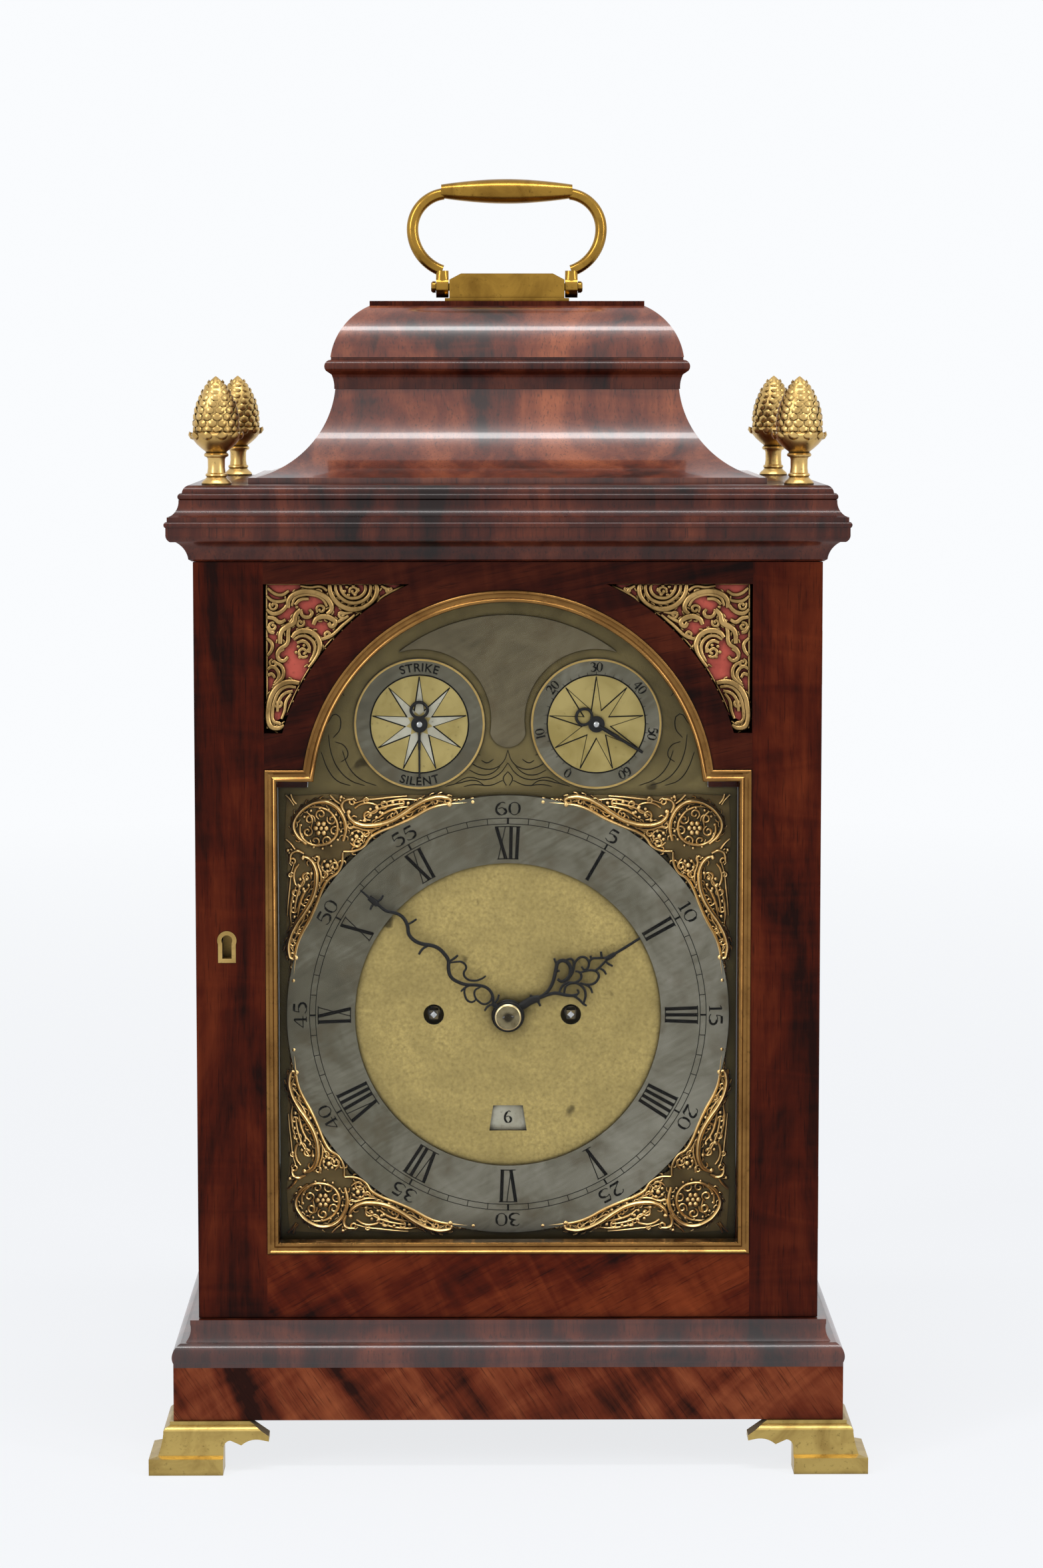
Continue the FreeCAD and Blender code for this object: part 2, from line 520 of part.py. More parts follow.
def make_sides():
    """Two side panels with arched sound openings, and the pierced brass frets that fill them."""
    low = "%s + opening_low" % BODY_LOW
    straight = low + " + opening_straight"
    half = "opening_wide / 2"
    frets = []
    for name, side in (("side_panel_left", -1), ("side_panel_right", 1)):
        panel = new_body("panel")
        inner = "%d * (%s - side_wall)" % (side, HALF_WIDE)
        outer = "%d * %s" % (side, HALF_WIDE)
        near, far = (outer, inner) if side < 0 else (inner, outer)
        arch = [("-" + half, low), (half, low), (half, straight), ("0", straight + " + " + half, half),
                ("-" + half, straight, half)]
        pad(panel, "YZ", [box(CASE_FRONT, CASE_BACK, BODY_LOW, BODY_TOP), arch], near, far)
        if side < 0:
            pocket(panel, "YZ", [box(LATCH_FRONT + " - fit_gap", LATCH_FRONT + " + latch_thick + fit_gap",
                                     LATCH_LOW + " - fit_gap", LATCH_LOW + " + latch_high + fit_gap")],
                   "%s - latch_travel - latch_clear" % inner, inner)
            reach = "(catch_arm - catch_arm_wide / 2 + catch_clear)"
            slot_back = "%s - catch_inset + fit_gap" % CASE_BACK
            pocket(panel, "YZ", [box(slot_back + " - catch_arm_thick - fit_gap * 2", slot_back,
                                     "%s - %s" % (CATCH_HIGH, reach), "%s + %s" % (CATCH_HIGH, reach))],
                   "%s - catch_slot" % inner, inner)
        else:
            cut_hinges(panel, CASE_FRONT, "hinge_leaf", "+")
            cut_hinges(panel, CASE_BACK, "hinge_leaf", "-")
        node(name, panel)
        fret = new_body("fret")
        trim = "(opening_wide / 2 - pivot_gap)"
        outline = [("-" + trim, low + " + pivot_gap"), (trim, low + " + pivot_gap"), (trim, straight),
                   ("0", straight + " + " + trim, trim), ("-" + trim, straight, trim)]
        fret_out = "(%s - side_fret_inset)" % HALF_WIDE
        fret_in = "(%s - side_fret_inset - side_fret_thick)" % HALF_WIDE
        holes = []
        for line in range(9):
            for spot in range(5 - line % 2):
                across = "%s * side_hole_pitch" % (spot - (4 - line % 2) / 2)
                up = low + " + side_row_first + %d * side_row_pitch" % line
                holes.append((across, up, "side_hole"))
        if side < 0:
            pad(fret, "YZ", [outline], "-" + fret_out, "-" + fret_in, holes)
        else:
            pad(fret, "YZ", [outline], fret_in, fret_out, holes)
        frets.append(fret)
    group("side_frets", frets)


def make_top():
    """Cornice, the board inside it, the bell top in three mouldings, its cap, and the finials."""
    low = BODY_TOP[1:-1]
    moulding("cornice", [
        ("cornice_fillet - 0.5", low), ("cornice_foot_out", low + " + cornice_fillet"),
        ("cornice_cove_out", low + " + cornice_cove_top", "-9"),
        ("cornice_ovolo_out - 1.6", low + " + cornice_cove_top"),
        ("cornice_ovolo_out", low + " + cornice_ovolo_top", "3"),
        ("cornice_ovolo_out", low + " + cornice_bead_low"),
        ("cornice_ovolo_out", low + " + cornice_bead_top", "cornice_bead_bulge"),
        ("cornice_fascia_out", low + " + cornice_bead_top"),
        ("cornice_fascia_out", low + " + cornice_fascia_top"),
        ("cornice_fascia_out - 0.6", low + " + cornice_fascia_top"),
        ("cornice_neck_out", low + " + cornice_hollow_top", "-6.4"),
        ("cornice_neck_out", low + " + cornice_round_low"),
        ("cornice_neck_out - 0.4", low + " + cornice_round_low"),
        ("cornice_neck_out - 0.4", low + " + cornice_round_top", "1.4"),
        ("cornice_neck_out - 1.2", low + " + cornice_round_top"),
        ("cornice_top_out", low + " + cornice_high", "3.2")], "cornice_inner")
    board = new_body("board")
    half, deep = "%s - cornice_inner" % HALF_WIDE, "%s - cornice_inner" % HALF_DEEP
    pad(board, "XY", [box("-(%s)" % half, half, "-(%s)" % deep, deep)],
        BELL_LOW + " - top_board_thick", BELL_LOW)
    node("top_board", board)
    low = BELL_LOW[1:-1]
    moulding("bell_cove", [
        ("-bell_step_in", low), ("-bell_step_in", low + " + bell_step_high"),
        ("-cove_foot_in", low + " + bell_step_high"),
        ("-cove_neck_in", low + " + cove_high", "-cove_radius")], "cove_neck_in + bell_wall")
    low = COVE_TOP[1:-1]
    moulding("bell_moulding", [
        ("-bead_low_in", low), ("-bead_low_in + 1", low + " + 5.6", "-12"),
        ("-bead_in - 0.6", low + " + 7"), ("-bead_in - 2.4", low + " + 11.4", "2.6"),
        ("-bead_in - 2.4", low + " + bead_high")], "cove_neck_in + bell_wall")
    low = BEAD_TOP[1:-1]
    moulding("bell_cushion", [
        ("-cushion_low_in", low), ("-cushion_top_in", low + " + cushion_high", "cushion_radius")],
        "cushion_top_in + 3")
    cap = new_body("cap")
    half, deep = "%s - cushion_top_in" % HALF_WIDE, "%s - cushion_top_in" % HALF_DEEP
    pad(cap, "XY", [box("-(%s)" % half, half, "-(%s)" % deep, deep)], CUSHION_TOP, CAP_TOP)
    node("cap_plate", cap)
    finials = []
    for x in (-1, 1):
        for y in (-1, 1):
            finial = new_body("finial")
            turned(finial, [
                ("0", "0"), ("finial_foot", "0"), ("finial_foot", "1.2"),
                ("finial_stem", "finial_foot_high", "-3.4"), ("finial_stem", "finial_collar_low"),
                ("finial_collar", "finial_collar_low + 1.2"), ("finial_stem + 0.6", "finial_calyx_low"),
                ("finial_calyx", "finial_calyx_rim", "13"), ("finial_cone", "finial_calyx_rim + 0.8"),
                ("finial_cone", "finial_cone_low"), ("finial_cone_waist", "finial_cone_mid"),
                ("finial_cone_tip", "finial_cone_top"), ("0", "finial_high")])
            finials.append(place(finial, "%d * (%s - finial_in)" % (x, HALF_WIDE),
                                 "%d * (%s - finial_in)" % (y, HALF_DEEP), BELL_LOW))
    group("finials", finials)


def make_handle():
    """The brass block on the cap, the bail handle that folds on it, and its two pivot screws."""
    block = new_body("block")
    flange_long, flange_deep = "block_half_long + block_flange", "block_half_deep + block_flange"
    base = CAP_TOP[1:-1]
    pad(block, "XY", [box("-(%s)" % flange_long, flange_long, "-(%s)" % flange_deep, flange_deep)],
        base, base + " + block_flange_high")
    pad(block, "XZ", [[("-block_half_long", base + " + block_flange_high"),
                       ("block_half_long", base + " + block_flange_high"),
                       ("block_half_long", base + " + block_high"),
                       ("block_half_long - block_bevel", base + " + block_high + block_bevel_high"),
                       ("-block_half_long + block_bevel", base + " + block_high + block_bevel_high"),
                       ("-block_half_long", base + " + block_high")]], "-block_half_deep", "block_half_deep")
    pocket(block, "YZ", [], "-block_half_long", "block_half_long",
           [("0", base + " + handle_pivot_high", "screw_radius")])
    screws = []
    for side in (-1, 1):
        screw = new_body("screw")
        shank_end = "block_half_long + fit_gap * 2 + lug_thick + fit_gap"
        turned(screw, [("0", "0"), ("screw_radius", "0"), ("screw_radius", shank_end),
                       ("screw_head", shank_end),
                       ("screw_head", shank_end + " + screw_head_thick - screw_chamfer"),
                       ("screw_head - screw_chamfer", shank_end + " + screw_head_thick"),
                       ("0", shank_end + " + screw_head_thick")])
        screw.Placement = FreeCAD.Placement(Vector(), Rotation(Vector(0, 1, 0), 90 * side))
        tie(screw, "Placement.Base.z", base + " + handle_pivot_high")
        screws.append(screw)
    group("handle_block", [block] + screws)

    pivot = value(CAP_TOP) + value("handle_pivot_high")
    middle = value("block_half_long + fit_gap * 2 + lug_thick / 2")
    rod, swell = value("handle_rod"), value("rod_swell")
    solids = [handle_grip(rod + swell)]
    for side in (-1, 1):
        solids += handle_leg(side, middle, rod, rod + swell)
    bail = solids[0].fuse(solids[1:])
    hole = value("screw_radius + pivot_gap")
    reach = value("case_width")
    bail = bail.cut(Part.makeCylinder(hole, reach, Vector(-reach / 2, 0, 0), Vector(1, 0, 0)))
    feature("handle", bail, 0, 0, pivot)


def handle_leg(side, middle, rod, neck_top):
    """One bowed leg of the bail, from its lug up to the grip, with the flared neck between them."""
    rise, top = value("lug_rise"), value("grip_high - grip_dip")
    shoulder = Vector(value("handle_half_wide"), 0, value("shoulder_rise"))
    arcs = []
    for spot in (Vector(middle, 0, rise), Vector(value("grip_half_long"), 0, top - value("grip_end"))):
        across, along = shoulder.x - spot.x, shoulder.z - spot.z
        radius = (across ** 2 + along ** 2) / (2 * across)
        half_turn = math.asin(along / radius) / 2
        arc_middle = shoulder - Vector(radius * (1 - math.cos(half_turn)), 0, radius * math.sin(half_turn))
        corners = [Vector(side * point.x, 0, point.z) for point in (spot, arc_middle, shoulder)]
        arcs.append(corners)
    lower = Part.Arc(*arcs[0]).toShape()
    upper = Part.Arc(*arcs[1][::-1]).toShape()
    path = Part.Wire([lower, upper])
    start = Part.makeCircle(rod, Vector(side * middle, 0, rise), lower.tangentAt(lower.FirstParameter))
    leg = path.makePipeShell([Part.Wire([start])], True, True)
    thick, radius = value("lug_thick"), value("lug_radius")
    edge = side * middle - thick / 2
    eye = Part.makeCylinder(radius, thick, Vector(edge, 0, 0), Vector(1, 0, 0))
    neck = Part.makeCone(radius * 0.95, neck_top, rise, Vector(side * middle, 0, 0))
    neck = neck.common(Part.makeBox(thick, 4 * radius, 4 * radius, Vector(edge, -2 * radius, -radius)))
    return [leg, eye, neck]


def handle_grip(end_radius):
    """The spindle-shaped grip, turned about X."""
    end, swell_at = value("grip_half_long + grip_end"), value("grip_swell_at")
    flank = Part.BSplineCurve()
    flank.interpolate([Vector(-end, 0, end_radius), Vector(-swell_at, 0, value("grip_swell")),
                       Vector(0, 0, value("grip_radius")), Vector(swell_at, 0, value("grip_swell")),
                       Vector(end, 0, end_radius)])
    sides = [Part.makeLine(Vector(-end, 0, 0), Vector(-end, 0, end_radius)), flank.toShape(),
             Part.makeLine(Vector(end, 0, end_radius), Vector(end, 0, 0)),
             Part.makeLine(Vector(end, 0, 0), Vector(-end, 0, 0))]
    grip = Part.Face(Part.Wire(sides)).revolve(Vector(), Vector(1, 0, 0), 360)
    grip.translate(Vector(0, 0, value("grip_high - grip_dip")))
    return grip


# ---------------------------------------------------------------- hinges, shared by both doors

def hinge_lows():
    return ["%s + hinge_lower" % BODY_LOW, "%s - hinge_upper_in - hinge_long" % BODY_TOP]


def cut_hinges(body, face, depth, into):
    """Sink the hinge leaves into a face that looks along Y, and clear the knuckles at its corner."""
    for low in hinge_lows():
        high = low + " + hinge_long"
        back = "%s %s %s" % (face, into, depth)
        y0, y1 = (face, back) if into == "+" else (back, face)
        pocket(body, "XY", [box("%s - hinge_wide" % HALF_WIDE, "%s + 1" % HALF_WIDE, y0, y1)], low, high)
        axis = FRONT_AXIS if value(face) < 0 else BACK_AXIS
        pocket(body, "XY", [], low + " - fit_gap", high + " + fit_gap",
               [(HALF_WIDE, axis, "knuckle + hinge_relief")])


def hinge_leaves(name, faces):
    """The leaves of two butt hinges on each face given, with their shares of the knuckle.

    Each face is (y of the face, sign into the wood, whether it holds the pin and the outer knuckles).
    """
    leaves = []
    radius = value("knuckle")
    pin = value("hinge_pin")
    length = value("hinge_long")
    third = length / 3
    gap = value("fit_gap") / 2
    for face, into, holds_pin in faces:
        face_at = value(face)
        axis = value(FRONT_AXIS) if face_at < 0 else value(BACK_AXIS)
        half = value(HALF_WIDE)
        deep = value("hinge_leaf") * into
        leaf_wide = value("hinge_wide")
        for low in hinge_lows():
            base = value(low)
            leaf_low = min(face_at, face_at + deep)
            leaf = Part.makeBox(leaf_wide, abs(deep), length, Vector(half - leaf_wide, leaf_low, base))
            relief = radius + value("hinge_relief")
            leaf = leaf.cut(Part.makeCylinder(relief, length + 2, Vector(half, axis, base - 1)))
            spans = [(third + gap, 2 * third - gap)]
            if holds_pin:
                spans = [(0.0, third - gap), (2 * third + gap, length)]
            for start, stop in spans:
                tube = Part.makeCylinder(radius, stop - start, Vector(half, axis, base + start))
                web = Part.makeBox(relief + 0.4, abs(deep), stop - start,
                                   Vector(half - relief - 0.4, leaf_low, base + start))
                leaf = leaf.fuse([tube, web])
            shank_radius = pin if holds_pin else pin + value("pivot_gap")
            shank = Part.makeCylinder(shank_radius, length, Vector(half, axis, base))
            leaf = leaf.fuse(shank) if holds_pin else leaf.cut(shank)
            leaves.append(leaf)
    feature(name, Part.makeCompound(leaves))


FRONT_AXIS = "(-case_depth / 2 + door_thick + door_gap / 2)"
BACK_AXIS = "(case_depth / 2 - door_thick - door_gap / 2)"
DOOR_LOW = "(%s + door_gap)" % BODY_LOW[1:-1]
DOOR_TOP = "(%s - door_gap)" % BODY_TOP[1:-1]
LATCH_FRONT = "(-case_depth / 2 + door_thick + (lock_deep - latch_thick) / 2)"
LATCH_LOW = "(%s + key_high)" % BODY_LOW[1:-1]
FRAME_LOW = "(%s + frame_low)" % BODY_LOW[1:-1]
SHOULDER = "(%s + frame_shoulder)" % BODY_LOW[1:-1]
ARCH_CENTRE = "(%s + arch_centre_high)" % BODY_LOW[1:-1]
OPEN_HALF = "(case_width / 2 - stile_wide)"


# ---------------------------------------------------------------- the front door

def frame_outline(inset):
    """The arched outline of the door's opening, drawn in by inset."""
    return arched("%s - (%s)" % (OPEN_HALF, inset), "%s + (%s)" % (FRAME_LOW, inset),
                  "%s - (%s) * 0.9" % (SHOULDER, inset), "(arch_radius - (%s) * 0.71)" % inset, ARCH_CENTRE)


def fret_outline(side, inset):
    """The corner over the arch: square outside, hollow along the arch's band."""
    across = "(%s - (%s))" % (OPEN_HALF, inset)
    top = "(%s + fret_top - (%s))" % (BODY_LOW, inset)
    low = "(%s + fret_low + (%s))" % (BODY_LOW, inset)
    band = "(arch_radius + fret_band + (%s))" % inset
    tip = "sqrt(%s ^ 2 - (%s - %s) ^ 2)" % (band, top, ARCH_CENTRE)
    foot = "sqrt(%s ^ 2 - (%s - %s) ^ 2)" % (band, low, ARCH_CENTRE)
    sign = "" if side > 0 else "-"
    turn = "-" if side > 0 else ""
    return [(sign + across, low), (sign + across, top), (sign + tip, top), (sign + foot, low, turn + band)]


def make_door():
    """The front door: two stiles, an arched top rail, a bottom rail, bezel, glass, frets and lock."""
    for name, side in (("door_stile_left", -1), ("door_stile_right", 1)):
        stile = new_body("stile")
        edges = ["%d * %s" % (side, HALF_WIDE), "%d * %s" % (side, OPEN_HALF)]
        x0, x1 = edges if side < 0 else edges[::-1]
        pad(stile, "XZ", [box(x0, x1, DOOR_LOW, DOOR_TOP)], FRONT, DOOR_BACK)
        if side < 0:
            pocket(stile, "XZ", [keyhole("pivot_gap + escutcheon_wall")], FRONT, DOOR_BACK)
        else:
            cut_hinges(stile, DOOR_BACK, "hinge_leaf", "-")
        node(name, stile)
    rail = new_body("rail")
    spring = "sqrt(arch_radius ^ 2 - (%s - %s) ^ 2)" % (SHOULDER, ARCH_CENTRE)
    pad(rail, "XZ", [[("-" + OPEN_HALF, SHOULDER), ("-" + spring, SHOULDER),
                      ("0", ARCH_CENTRE + " + arch_radius", "-arch_radius"),
                      (spring, SHOULDER, "-arch_radius"), (OPEN_HALF, SHOULDER), (OPEN_HALF, DOOR_TOP),
                      ("-" + OPEN_HALF, DOOR_TOP)]], FRONT, DOOR_BACK)
    for side in (-1, 1):
        pocket(rail, "XZ", [fret_outline(side, "0")], FRONT, DOOR_BACK)
    node("door_top_rail", rail)
    rail = new_body("rail")
    pad(rail, "XZ", [box("-" + OPEN_HALF, OPEN_HALF, DOOR_LOW, FRAME_LOW)], FRONT, DOOR_BACK)
    node("door_bottom_rail", rail)
    bezel = new_body("bezel")
    glass_front = FRONT + " + glass_set_back"
    pad(bezel, "XZ", [frame_outline("0"), frame_outline("bezel_wide")], FRONT + " - bezel_proud", glass_front)
    pad(bezel, "XZ", [frame_outline("0"), frame_outline("bezel_lip")], glass_front, FRONT + " + bezel_deep")
    node("door_bezel", bezel)
    glass = new_body("glass")
    pad(glass, "XZ", [frame_outline("bezel_lip + fit_gap")], glass_front, glass_front + " + glass_thick")
    node("door_glass", glass)
    frets, silks = [], []
    for side in (-1, 1):
        fret = new_body("fret")
        front = FRONT + " + fret_set_back"
        holes = []
        for line in range(8):
            for spot in range(8 - line):
                across = "%d * (%s - fret_hole_in - fret_hole_pitch * %d)" % (side, OPEN_HALF, spot)
                up = "%s + fret_top - fret_hole_in - fret_hole_pitch * %d" % (BODY_LOW, line)
                reach = math.hypot(value(across), value(up) - value(ARCH_CENTRE))
                if reach > value("arch_radius + fret_band + fret_hole + fret_rim"):
                    holes.append((across, up, "fret_hole"))
        pad(fret, "XZ", [fret_outline(side, "pivot_gap")], front, front + " + fret_thick", holes)
        frets.append(fret)
        silk = new_body("silk")
        pad(silk, "XZ", [fret_outline(side, "pivot_gap")], front + " + fret_thick",
            front + " + fret_thick + silk_thick")
        silks.append(silk)
    group("door_frets", frets)
    group("door_silk", silks)
    make_lock()
    hinge_leaves("door_hinge_leaves", [(DOOR_BACK, -1, False)])


def keyhole(wall):
    """A keyhole's outline, round above and square below, grown by wall."""
    middle = "(-%s + key_in)" % HALF_WIDE
    head = "(%s + key_high)" % BODY_LOW
    half = "(key_wide + %s)" % wall
    radius = "(key_round + %s)" % wall
    meet = "(%s - sqrt(%s ^ 2 - %s ^ 2))" % (head, radius, half)
    foot = "(%s - key_drop - (%s))" % (head, wall)
    return [("%s - %s" % (middle, half), foot), ("%s + %s" % (middle, half), foot),
            ("%s + %s" % (middle, half), meet),
            ("%s + %s" % (middle, radius), head, radius),
            (middle, "%s + %s" % (head, radius), radius),
            ("%s - %s" % (middle, radius), head, radius),
            ("%s - %s" % (middle, half), meet, radius)]


def make_lock():
    """The lock box behind the left stile, its keyhole lining, and the bolt that slides in it."""
    left = "(-%s + side_wall + fit_gap * 2)" % HALF_WIDE
    right = "(%s + lock_wide)" % left[1:-1]
    low = "(%s + latch_high / 2 - lock_high / 2)" % LATCH_LOW
    high = "(%s + latch_high / 2 + lock_high / 2)" % LATCH_LOW
    lock = new_body("lock")
    back = DOOR_BACK + " + lock_deep"
    pad(lock, "XZ", [box(left, right, low, high)], DOOR_BACK, back)
    pocket(lock, "YZ", [box(LATCH_FRONT + " - pivot_gap", LATCH_FRONT + " + latch_thick + pivot_gap",
                            LATCH_LOW + " - pivot_gap", LATCH_LOW + " + latch_high + pivot_gap")],
           left, right + " - lock_wall")
    lining = new_body("lining")
    pad(lining, "XZ", [keyhole("escutcheon_wall"), keyhole("0")], FRONT + " - escutcheon_proud",
        FRONT + " + escutcheon_deep")
    group("door_lock", [lock, lining])
    latch = new_body("latch")
    pad(latch, "YZ", [box(LATCH_FRONT, LATCH_FRONT + " + latch_thick",
                          LATCH_LOW, LATCH_LOW + " + latch_high")],
        left, right + " - lock_wall - fit_gap")
    node("lock_bolt", latch)


# ---------------------------------------------------------------- the back door

def make_back_door():
    """The back door: an arched glazed frame, its hinges, and a turn catch."""
    door = new_body("back_door")
    back_inner, back_outer = "%s + door_gap" % CASE_BACK, HALF_DEEP
    half = "(case_width / 2 - back_stile)"
    low = DOOR_LOW + " + back_rail_low"
    shoulder = low + " + back_straight"

    def opening(inset):
        radius = "(back_arch_radius - (%s))" % inset
        return arched("(%s - (%s))" % (half, inset), "%s + (%s)" % (low, inset),
                      "(%s - (%s))" % (shoulder, inset), radius, "(%s - 8)" % shoulder)

    middle = back_inner + " + door_thick / 2"
    pad(door, "XZ", [box("-" + HALF_WIDE, HALF_WIDE, DOOR_LOW, DOOR_TOP), opening("0")], middle, back_outer)
    pad(door, "XZ", [box("-" + HALF_WIDE, HALF_WIDE, DOOR_LOW, DOOR_TOP), opening("-back_glass_lap")],
        back_inner, middle)
    cut_hinges(door, back_inner, "hinge_leaf", "+")
    catch_x, catch_z = CATCH_ACROSS, CATCH_HIGH
    pocket(door, "XZ", [], back_inner, back_outer, [(catch_x, catch_z, "catch_shaft + pivot_gap")])
    node("back_door_frame", door)
    glass = new_body("glass")
    pad(glass, "XZ", [opening("-back_glass_lap + fit_gap")], middle + " - glass_thick", middle)
    node("back_door_glass", glass)
    hinge_leaves("back_door_hinge_leaves", [("%s + door_gap" % CASE_BACK, 1, False)])
    hinge_leaves("case_hinge_leaves", [(CASE_FRONT, 1, True), (CASE_BACK, -1, True)])
    size, knob_out = value("catch_knob"), value("catch_knob_long")
    slab = Part.makeBox(4 * size, size, 4 * size, Vector(-2 * size, size * -0.7, -2 * size))
    knob = Part.makeSphere(size).common(slab)
    outer = value(back_outer)
    knob.translate(Vector(0, outer + knob_out - size * 0.3, 0))
    arm_back = value(CASE_BACK) - value("catch_inset")
    arm_front = arm_back - value("catch_arm_thick")
    neck = rod_along(value("catch_shaft"), arm_front, outer + knob_out * 0.7)
    collar_low = outer + value("fit_gap")
    collar = rod_along(value("catch_collar"), collar_low, collar_low + value("catch_collar_thick"))
    arm_wide, arm_long = value("catch_arm_wide"), value("catch_arm")
    arm = Part.makeBox(arm_wide, value("catch_arm_thick"), arm_long,
                       Vector(-arm_wide / 2, arm_front, -arm_long + arm_wide / 2))
    feature("back_door_catch", neck.fuse([knob, collar, arm]), value(catch_x), 0, value(catch_z))


# ---------------------------------------------------------------- the dial

def dial_outline(inset):
    """The arched outline of the dial plate, drawn in by inset."""
    half = "(dial_side / 2 - (%s))" % inset
    shoulder = "(%s + dial_side / 2 - (%s))" % (CENTRE_HIGH, inset)
    return arched(half, "(%s - dial_side / 2 + (%s))" % (CENTRE_HIGH, inset), shoulder,
                  "(dial_arch_radius - (%s))" % inset, ARCH_CENTRE)


def make_dial():
    """The wooden mask, the arched dial plate, and what is fixed on its face."""
    mask = new_body("mask")
    front = CASE_FRONT + " + mask_front"
    side = "(%s - side_wall)" % HALF_WIDE
    pad(mask, "XZ", [box("-" + side, side, BODY_LOW, BODY_TOP), dial_outline("-fit_gap")], front,
        front + " + mask_thick")
    left = "(-%s + side_wall)" % HALF_WIDE
    lock_middle = LATCH_LOW + " + latch_high / 2"
    pocket(mask, "XZ", [box(left + " - 1", left + " + fit_gap * 5 + lock_wide + lock_clear",
                            lock_middle + " - lock_high / 2 - lock_clear",
                            lock_middle + " + lock_high / 2 + lock_clear")], front, front + " + mask_thick")
    node("dial_mask", mask)

    plate = new_body("dial")
    drop = "(%s - date_centre_drop)" % CENTRE_HIGH
    aperture = [("-date_low_half", drop + " - date_high / 2"), ("date_low_half", drop + " - date_high / 2"),
                ("date_top_half", drop + " + date_high / 2"), ("-date_top_half", drop + " + date_high / 2")]
    holes = [("0", CENTRE_HIGH, "pipe_hole"), ("-winding_left", CENTRE_HIGH, "winding_hole"),
             ("winding_right", CENTRE_HIGH, "winding_hole"), ("-sub_across", SUB_HIGH, "pivot + pivot_gap"),
             ("sub_across", SUB_HIGH, "pivot + pivot_gap")]
    pad(plate, "XZ", [dial_outline("0"), aperture], DIAL_FRONT, DIAL_BACK, holes)
    studs = [stud_place(number) for number in range(3)]
    ring_back = "date_ring_thick + pivot_gap * 4"
    stud_end = "%s + %s" % (DIAL_BACK, ring_back)
    pad(plate, "XZ", [], DIAL_BACK, stud_end, [spot + ("date_stud",) for spot in studs])
    pad(plate, "XZ", [], stud_end, stud_end + " + date_stud_cap",
        [spot + ("date_stud_head",) for spot in studs])
    feet = []
    for x in (-1, 1):
        for z in (-1, 1):
            up = "%s + %d * dial_foot_apart / 2" % (CENTRE_HIGH, z)
            feet.append(("%d * dial_foot_across / 2" % x, up, "dial_foot"))
    pad(plate, "XZ", [], DIAL_BACK, PLATE_FRONT, feet)
    node("dial_plate", plate)

    ring = new_body("ring")
    pad(ring, "XZ", [], DIAL_FRONT + " - ring_thick", DIAL_FRONT,
        [("0", CENTRE_HIGH, "ring_outer"), ("0", CENTRE_HIGH, "ring_inner")])
    node("chapter_ring", ring)

    corners = []
    for x in (-1, 1):
        for z in (-1, 1):
            corner = new_body("spandrel")
            bow = "(ring_outer + spandrel_clear)"
            start = "sqrt(%s ^ 2 - spandrel_reach ^ 2)" % bow
            hole_in = "(spandrel_reach - spandrel_hole_in)"
            outside, inside = "%d * spandrel_reach" % x, "%d * %s" % (x, start)
            top, foot = ("%s + %d * %s" % (CENTRE_HIGH, z, size) for size in ("spandrel_reach", start))
            turn = "-" if x * z > 0 else ""
            pad(corner, "XZ", [[(outside, top), (inside, top), (outside, foot, turn + bow)]],
                DIAL_FRONT + " - spandrel_thick", DIAL_FRONT,
                [("%d * %s" % (x, hole_in), "%s + %d * %s" % (CENTRE_HIGH, z, hole_in), "spandrel_hole")])
            corners.append(corner)
    group("spandrels", corners)

    name_plate = new_body("plate")
    pad(name_plate, "XZ", [plate_outline()], DIAL_FRONT + " - plate_thick", DIAL_FRONT)
    node("name_plate", name_plate)

    discs = []
    for side in (-1, 1):
        disc = new_body("disc")
        spot = ("%d * sub_across" % side, SUB_HIGH)
        pad(disc, "XZ", [], DIAL_FRONT + " - sub_thick", DIAL_FRONT,
            [spot + ("sub_radius",), spot + ("pivot + pivot_gap",)])
        discs.append(disc)
    group("subsidiary_dials", discs)

    date = new_body("date")
    front = DIAL_BACK + " + pivot_gap * 2"
    pad(date, "XZ", [], front, front + " + date_ring_thick",
        [("0", CENTRE_HIGH, "date_ring_outer"), ("0", CENTRE_HIGH, "date_ring_inner")])
    node("date_ring", date)


def plate_outline():
    """The bare name plate: its top follows the arch, and its sides hug the two small dials."""
    arch = "(dial_arch_radius - plate_margin)"
    hug = "(sub_radius + plate_clear)"
    corner = "(sub_across + plate_corner_out)"
    corner_high = "%s + sqrt(%s ^ 2 - %s ^ 2)" % (ARCH_CENTRE, arch, corner)
    foot = "(sub_across - %s * cos(plate_foot_turn))" % hug
    foot_high = "%s - %s * sin(plate_foot_turn)" % (SUB_HIGH, hug)
    foot_round = "((%s ^ 2 + plate_drop ^ 2) / (2 * plate_drop))" % foot
    return [("0", foot_high + " - plate_drop", foot_round), (foot, foot_high, foot_round),
            (corner, corner_high, "-" + hug), ("0", "%s + %s" % (ARCH_CENTRE, arch), arch),
            ("-" + corner, corner_high, arch), ("-" + foot, foot_high, "-" + hug)]


def stud_place(number):
    """Where one of the three studs stands that the date ring turns on."""
    turn = 90 + 120 * number
    reach = "(date_ring_inner - date_stud - fit_gap)"
    return ("%s * sin(%d)" % (reach, turn + 90), "%s + %s * cos(%d)" % (CENTRE_HIGH, reach, turn + 90))


